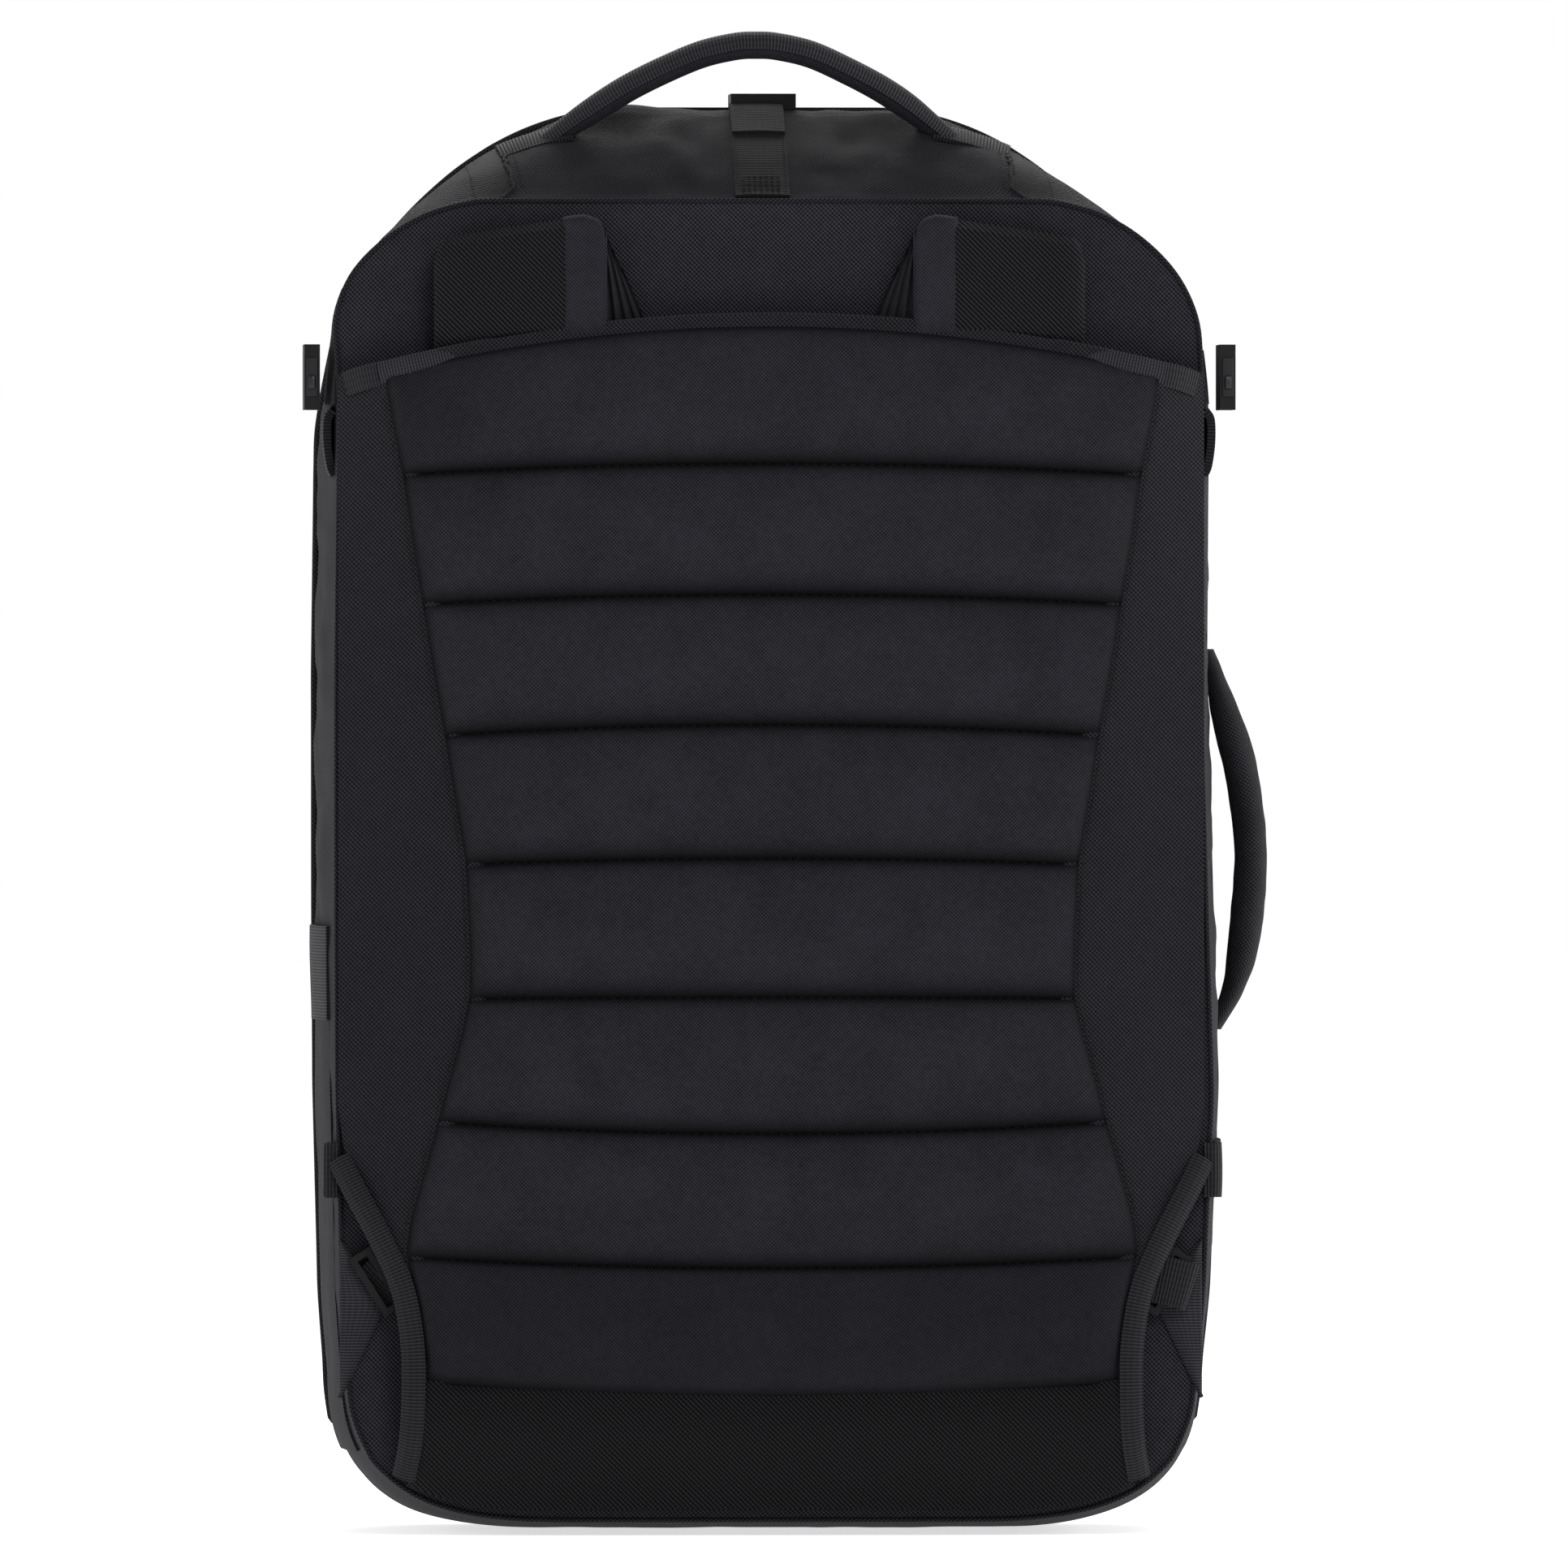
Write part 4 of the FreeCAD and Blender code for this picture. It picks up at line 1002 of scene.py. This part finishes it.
def wrap_point(u, v):
    """The webbing goes over the roll and most of the way round it."""
    ahead, side_way, out = frame_at(arch_path, v, handle_out)
    wide, tall = roll_size(v)
    angle = math.radians(between((6, 174), u))
    return arch_path(v) + side_way * ((wide + 1.3) * math.cos(angle)) + out * ((tall + 0.9) * math.sin(angle))


WRAP_COLUMNS, WRAP_ROWS = 20, 130
wrap = cloth_grid("top_handle_webbing", WRAP_COLUMNS, WRAP_ROWS, wrap_point)
face_along(wrap, WRAP_ROWS // 2 * WRAP_COLUMNS + WRAP_COLUMNS // 2, Vector((0, 0, 1)))
dress_sheet(wrap, 1.4, handle_webbing, "webbing")
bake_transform(wrap)
END_REACH = {"right": (97, 64), "left": (103, 74)}
for side, word in SIDES:
    marks = np.linspace(3, 3 - side, 60)
    reaches = [side * on_rim(mark, HANDLE_Y).x for mark in marks]
    points = []
    for share in np.linspace(0, 1, 12):
        mark = float(np.interp(between(END_REACH[word], share), reaches, marks))
        points.append(shell(mark, HANDLE_Y, 1.0 + 1.6 * share ** 2))
    flat = route(points)
    end = ribbon(f"top_handle_end_webbing_{word}", flat, (side * 0.3, -0.3, 1), 19, 1.5, 0.5, 40, 8)
    dress(end, webbing, "webbing", "pack", [f"top_handle_end_{word}"])
print("top handle reaches", round(max(v.co.z for v in wrap.data.vertices) * 1000, 1), "mm")

# %% The side handle
GRIP = ((169.5, 338), (173.2, 328), (178.6, 309), (184.0, 288), (186.8, 266), (186.8, 244), (184.4, 224),
        (179.6, 206), (172.5, 192))
grip_path = route([(x, -10, z) for x, z in GRIP])


def grip_size(share):
    """Half the width and half the thickness of the side handle's roll."""
    along = min(share, 1 - share)
    return 7.5 + 4.0 * ease(along / 0.25), 3.0 + 3.4 * ease(along / 0.28)


side_grip = tube("side_handle_roll", grip_path, grip_size, 130, 28, up=(1, 0, 0))
for vertex in side_grip.data.vertices:
    vertex.co.x += (0.6 * wander(*vertex.co * 45) + 0.35 * wander(*vertex.co * 120)) * MM
dress(side_grip, ripstop, "ripstop", "side_handle", ["side_handle"])
for name, z in (("upper", 331), ("lower", 199)):
    anchor_path = route([(half_at(height, -10) + 1.5, -10, height) for height in (z - 13, z, z + 13)])
    anchor = ribbon(f"side_handle_anchor_{name}", anchor_path, (1, 0, 0), 18, 1.4, 0.5, 16, 8)
    dress(anchor, ripstop, "ripstop", "pack", ["side_handle_anchors"] if name == "upper" else [])
handle_rows = [route([shell(height_mark(z, y), y, 1.6) for y in np.linspace(-40, 16, 12)])
               for z in (333, 335.5, 196, 193.5)]
stitches("side_handle_stitching", handle_rows, gap=2.8, long=1.8, thick=0.45, outward=(1, 0, 0))
print("side handle done")

# %% [markdown]
# A strap runs over the top from the rear seam to a buckle at the ridge, and on down the lid. Two
# straps on each side hold the pack flat. The webbing lies on the shell, so its path is read off
# it, and the buckles are the CAD parts with a moulded finish.

# %% Straps over the shell
WEBBING_WIDE, STRAP_ASIDE = 20.8, 3.0
UPPER_STRAP, LOWER_STRAP = 442, 139
BOTTLE_REAR = -66
LOW_WEB_RUN = ((152, -87.6, 93), (147, -88.4, 98), (138, -88.8, 104), (126, -87.6, 112), (108, -86.9, 124))
FOLDED_RUN = ((142.5, -90.8, 98.5), (145, -92.6, 98), (152, -93.2, 96.5), (158.5, -92.6, 94.8),
              (161, -90.8, 94))
TAIL_STEPS = ((0, 430), (2.2, 426), (2.4, 417), (1.2, 408), (-0.4, 404))


def middle_line(x, y, lift):
    """A point of the strap over the top, which sits a little to one side."""
    return Vector((x - STRAP_ASIDE, y, shell(3, y, lift).z))


top_run = route([middle_line(0, y, 1.9) for y in np.linspace(-81.5, -2, 24)])
top_strap = ribbon("top_strap_webbing", top_run, (0, -0.3, 1), WEBBING_WIDE, 1.5, 0.25, 110, 10)
dress(top_strap, top_webbing_painted_shade, "webbing", "pack", ["top_strap"])
fold_run = route([middle_line(0, y, 3.5) for y in np.linspace(-34, 3, 14)])
fold = ribbon("top_strap_fold", fold_run, (0, -0.3, 1), WEBBING_WIDE - 0.4, 1.5, 0.3, 60, 10)
dress(fold, top_webbing_painted_shade, "webbing", "pack")
across_rows = [route([middle_line(x, y, 2.45) for x in np.linspace(-9.3, 9.3, 6)])
               for y in (-79.8, -77.0, -74.2, -71.4, -68.6)]
long_rows = [route([middle_line(x, y, 2.4) for y in np.linspace(-80, -36, 10)]) for x in (-9.2, 9.2)]
stitches("top_strap_stitching", across_rows + long_rows, gap=2.2, long=1.8, thick=0.35, outward=(0, -0.3, 1))
lid_run = route([middle_line(0, y, 1.7) for y in np.linspace(43, 83.5, 14)])
lid_strap = ribbon("lid_strap_webbing", lid_run, (0, 0.2, 1), WEBBING_WIDE, 1.5, 0.25, 60, 10)
dress(lid_strap, webbing, "webbing", "lid", ["lid_strap"])


def side_run(side, height, depths, lift):
    """A level line along one side of the shell, from one depth to the other."""
    return route([shell(side_mark(side, height, y), y, lift) for y in np.linspace(*depths, 20)])


def lower_strap(side, word):
    """Comes round the rear seam and runs forward, on the left only as far as the stretch pocket."""
    reach = 14 if side > 0 else BOTTLE_REAR
    corner = [(side * 165.6, -87.2, LOWER_STRAP), (side * 170.5, -87.0, LOWER_STRAP),
              (side * (half_at(LOWER_STRAP, -84, side) + 5.6), -82.5, LOWER_STRAP)]
    run = side_run(side, LOWER_STRAP + 0.5, (-76, reach), 4.0)
    path = route(corner + [tuple(run(share)) for share in np.linspace(0, 1, 8)])

    def outward(share):
        turned = ease(share * path.length / 13)
        return side * (0.1 + turned), turned - 1, 0

    return ribbon(f"lower_strap_webbing_{word}", path, outward, WEBBING_WIDE, 1.8, 0.3, 130, 10)


def strap_wing(side, word):
    """The sewn triangle at the lower corner, widest a third of the way down."""
    def place(u, v):
        share = min(v * 1.7, 1.7 - v) if v < 0.63 else (1 - v) * 2.8
        x = between((164.8, between((164, 147), share)), u)
        return side * x, -85.6 - 1.2 * math.sin(math.pi * u), between((52, 112), v)

    return thicken(face_away(cloth_grid(f"strap_wing_tab_{word}", 14, 14, place), (0, 0, 80)), 1.5)


for side, word in SIDES:
    upper = ribbon(f"side_strap_webbing_{word}", side_run(side, UPPER_STRAP, (-83, 14), 1.8), (side, 0, 0.1),
                   WEBBING_WIDE, 1.5, 0.2, 120, 10)
    dress(upper, webbing, "webbing", "pack", [f"side_strap_{word}"])
    dress(lower_strap(side, word), webbing, "webbing", "pack", [f"lower_strap_{word}"])
    tail_x = half_at(420, BOTTLE_REAR, side) + 2.4
    tail_path = route([(side * (tail_x + out), BOTTLE_REAR, height) for out, height in TAIL_STEPS])
    tail = ribbon(f"strap_tail_webbing_{word}", tail_path, (side, 0, 0), 15, 3.0, 0.4, 50, 8)
    dress(tail, webbing, "webbing", "pack", [f"strap_tail_{word}"])
    dress(strap_wing(side, word), grosgrain, "webbing", "pack", [f"strap_wing_{word}"])
    low_path = route(mirrored(LOW_WEB_RUN, side))
    low_web = ribbon(f"lower_webbing_strap_{word}", low_path, (0, -1, 0), 19, 1.6, 0.3, 50, 8)
    dress(low_web, webbing, "webbing", "pack", [f"lower_webbing_{word}"])
folded = ribbon("folded_webbing_right", route(FOLDED_RUN), (0.05, -1, 0), 18.5, 1.5, 0.3, 40, 8)
dress(folded, webbing, "webbing", "ladder_lock_right")


def block(name, size, place, edge, material):
    """A small moulded block with rounded edges, its middle at place, in millimetres."""
    bpy.ops.object.select_all(action="DESELECT")
    bpy.ops.mesh.primitive_cube_add(size=1)
    piece = bpy.context.object
    piece.name = piece.data.name = name
    for vertex in piece.data.vertices:
        vertex.co = [(at * long + middle) * MM for at, long, middle in zip(vertex.co, size, place)]
    finish_with(piece, "BEVEL", width=edge * MM, segments=3)
    return dress(smooth(piece, 40), material, "buckle_plastic", "pack")


for side, word in SIDES:
    x = side * 175.1
    block(f"buckle_guide_{word}", (4.4, 1.2, 15), (x, -76.4, UPPER_STRAP), 0.5, cord_pull)
    block(f"buckle_bar_{word}", (2.6, 1.4, 5), (x, -77.4, UPPER_STRAP - 2), 0.6, slider_paint)
print("straps laid")

# %% [markdown]
# The main zip runs over the shell from seam to seam. Each edge carries a tape, and the two rows
# of coil meet between them. The coil is a tube whose ribs come from its finish.

# %% The main zip
ZIP_MARKS = (1.02, 4.98)


def zip_half(body, way):
    """One tape with its coil and its welt. way is 1 on the lid, and -1 on the pack."""
    inner, outer = ZIP + way * 0.4, ZIP + way * 12.3

    def tape_point(u, v):
        return shell(between(ZIP_MARKS, v), between((inner, outer), u), 0.9 + 0.5 * (1 - u))

    def run(depth, lift):
        return route([shell(mark, depth, lift) for mark in np.linspace(*ZIP_MARKS, 160)])

    tape = face_away(cloth_grid(f"zip_tape_cloth_{body}", 6, 320, tape_point), MIDDLE)
    dress_sheet(tape, 1.0, webbing, "zip_tape", body, [f"zip_tape_{body}"])
    coil = tube(f"zip_coil_{body}", run(ZIP + way * 1.55, 2.0), (1.2, 1.1), 520, 8, up=(0, 1, 0))
    dress(coil, coil_tape, "zip_tape", body)
    welt = tube(f"zip_welt_{body}", run(outer + way * 0.4, 1.3), (1.9, 1.5), 420, 8, up=(0, 1, 0))
    dress(welt, oxford, "oxford", body)


zip_half("pack", -1)
zip_half("lid", 1)
print("zip laid from", ZIP_MARKS)

# %% [markdown]
# The front of the lid has a flat pocket, and the left side a stretch pocket for a bottle. Both are
# cloth laid over the shell, with rounded corners and a hem.

# %% Pockets
pocket_low, pocket_high = (Vector(corner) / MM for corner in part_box("front_pocket"))
POCKET_ZIP, ZIP_REACH = 372, 108


def pocket_point(u, v):
    across, up = 2 * u - 1, 2 * v - 1
    round_off = 1 - 0.06 * (abs(across) * abs(up)) ** 6
    x = across * pocket_high.x * round_off
    z = between((pocket_low.z, pocket_high.z), 0.5 + up * round_off / 2)
    edge = max(abs(across), abs(up))
    rise = (1 - edge ** 14) ** 0.45
    waver = wander(x / 50, z / 60, 11)
    zip_dip = 1.2 * math.exp(-((z - POCKET_ZIP) / 9) ** 4) if abs(x) < ZIP_REACH + 4 else 0
    return Vector((x, FRONT + 1.2 + rise * (11.4 + 1.3 * waver) - zip_dip, z))


pocket = face_away(cloth_grid("front_pocket_cloth", 90, 120, pocket_point), (0, 0, 220))
dress_sheet(pocket, 1.2, oxford, "oxford", "lid", ["front_pocket"])


def pocket_run(reach, out, height):
    return route([(x, pocket_high.y + out, height) for x in np.linspace(-reach, reach, 12)])


for row, word in ((-1, "lower"), (1, "upper")):
    tape = ribbon(f"pocket_zip_tape_{word}", pocket_run(ZIP_REACH, -0.4, POCKET_ZIP + row * 6.4),
                  (0, 1, 0), 10.5, 1.0, 0.3, 120)
    dress(tape, webbing, "zip_tape", "lid", ["pocket_zip_tape"] if row > 0 else [])
    coil = tube(f"pocket_zip_coil_{word}", pocket_run(ZIP_REACH - 1, 0.3, POCKET_ZIP + row * 1.25),
                (1.1, 1.1), 260, 8, up=(0, 1, 0))
    dress(coil, coil_tape, "zip_tape", "lid")

# %% The stretch pocket and the fold under the lid
BOTTLE_LOW, BOTTLE_FRONT = 31.7, 15.7


def bottle_point(u, v, heights, lift, puff):
    height, depth = between(heights, v), between((BOTTLE_REAR, BOTTLE_FRONT), u)
    waver = wander(depth / 20, height / 30, 5)
    out = math.sin(math.pi * u) ** 0.6 * (puff * (0.4 + 0.6 * v) + 0.7 * waver)
    return shell(side_mark(-1, height, depth), depth, lift + out)


def pocket_cloth(u, v):
    return bottle_point(u, v, (BOTTLE_LOW, 213), 1.4, 1.6)


def hem_cloth(u, v):
    return bottle_point(u, 0.9 + 0.1 * v, (BOTTLE_LOW - 158, 232), 2.6, 2.0)


def fold_cloth(u, v):
    return (2 * u - 1) * 132, FRONT + 0.6 + 0.9 * math.sin(math.pi * v), between((23, 37), v)


bottle = face_away(cloth_grid("bottle_pocket_cloth", 40, 70, pocket_cloth), MIDDLE)
dress_sheet(bottle, 1.2, ripstop, "ripstop", "pack", ["bottle_pocket"])
hem = face_away(cloth_grid("bottle_pocket_hem_band", 40, 12, hem_cloth), MIDDLE)
dress_sheet(hem, 2.0, grosgrain, "webbing", "pack", ["bottle_pocket_hem"])
hinge_fold = face_away(cloth_grid("hinge_fold_cloth", 60, 12, fold_cloth), (0, 0, 30))
dress_sheet(hinge_fold, 1.2, oxford, "oxford")
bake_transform(hinge_fold)
print("pockets sewn on")

# %% [markdown]
# What the CAD already shapes well only needs its finish: the buckles, ladder locks, sliders,
# pullers and the stiff sheet behind the lining.

# %% Finish the carried-over parts
CARRIED = (("slider", slider_paint), ("puller", cord_pull), ("sheet", frame_sheet_plastic),
           ("socket", buckle_plastic), ("tongue", buckle_plastic), ("ladder", buckle_plastic))
for name, node in frame["nodes"].items():
    if node.hide_render:
        continue
    chosen = next((finish for word, finish in CARRIED if word in name), oxford)
    node.data.materials.clear()
    node.data.materials.append(chosen)
print("finished:", [name for name, node in frame["nodes"].items() if not node.hide_render])

# %% [markdown]
# The pack stands on a pale floor under soft studio light: a large light above the wearer's side,
# one at each side and one behind to draw the edges, and an even white surround.

# %% Floor, lights and surround
bpy.ops.object.select_all(action="DESELECT")
bpy.ops.mesh.primitive_plane_add(size=40, location=(0, 0, -0.6 * MM))
floor = bpy.context.object
floor.name = "floor"
floor_finish = Finish("pale_floor", Roughness=0.9, Specular_IOR_Level=0.1, Emission_Color=(1, 1, 1, 1),
                      Emission_Strength=0.66)
floor_tone = floor_finish.mixed(floor_finish.noise(0.4), (0.90, 0.90, 0.90), (0.94, 0.94, 0.94))
floor_finish.link("Base Color", floor_tone)
floor.data.materials.append(floor_finish.material)


def soft_light(name, place, aim, size, power):
    """A round studio light. Places are in metres, and the power in watts."""
    data = bpy.data.lights.new(name, "AREA")
    data.shape, data.size, data.energy = "DISK", size, power
    lamp = bpy.data.objects.new(name, data)
    bpy.context.scene.collection.objects.link(lamp)
    lamp.location = place
    lamp.rotation_euler = (Vector(aim) - Vector(place)).to_track_quat("-Z", "Y").to_euler()


soft_light("key_light", (0.45, -1.95, 1.5), (0, 0, 0.3), 0.9, 22.5)
soft_light("left_edge_light", (-2.2, 0.3, 0.8), (0, 0, 0.3), 1.2, 12)
soft_light("right_edge_light", (2.2, 0.3, 0.8), (0, 0, 0.3), 1.2, 22)
soft_light("back_light", (0.0, 2.2, 1.7), (0, 0, 0.4), 1.4, 24)
world = bpy.data.worlds.new("surround")
bpy.context.scene.world = world
world.use_nodes = True
background = world.node_tree.nodes["Background"]
background.inputs["Color"].default_value = (1, 1, 1, 1)
seen = world.node_tree.nodes.new("ShaderNodeLightPath").outputs["Is Camera Ray"]
level = world.node_tree.nodes.new("ShaderNodeMapRange")
level.inputs["To Min"].default_value = 0.45
level.inputs["To Max"].default_value = 1.0
world.node_tree.links.new(seen, level.inputs["Value"])
world.node_tree.links.new(level.outputs["Result"], background.inputs["Strength"])
bpy.context.scene.view_settings.view_transform = "Standard"
print("studio ready")

# %% [markdown]
# The camera stands far back from the wearer's side, a hair to the left and just above the
# middle of the pack, with a long lens, so that the outline is almost without perspective.

# %% The camera
TARGET = Vector((0.0050, -0.084, 0.2865))
DISTANCE, AZIMUTH, ELEVATION = 12.0, math.radians(-2.0), math.radians(0.3)
FRAME_WIDE, SENSOR = 0.599, 36
camera_data = bpy.data.cameras.new("camera")
camera = bpy.data.objects.new("camera", camera_data)
bpy.context.scene.collection.objects.link(camera)
camera.location = TARGET + DISTANCE * Vector((math.sin(AZIMUTH) * math.cos(ELEVATION),
                                              -math.cos(AZIMUTH) * math.cos(ELEVATION), math.sin(ELEVATION)))
camera.rotation_euler = (TARGET - camera.location).to_track_quat("-Z", "Y").to_euler()
camera_data.sensor_width = SENSOR
camera_data.lens = DISTANCE * SENSOR / FRAME_WIDE
bpy.context.scene.camera = camera
print("camera at", [round(c, 3) for c in camera.location], "lens", round(camera_data.lens, 1))
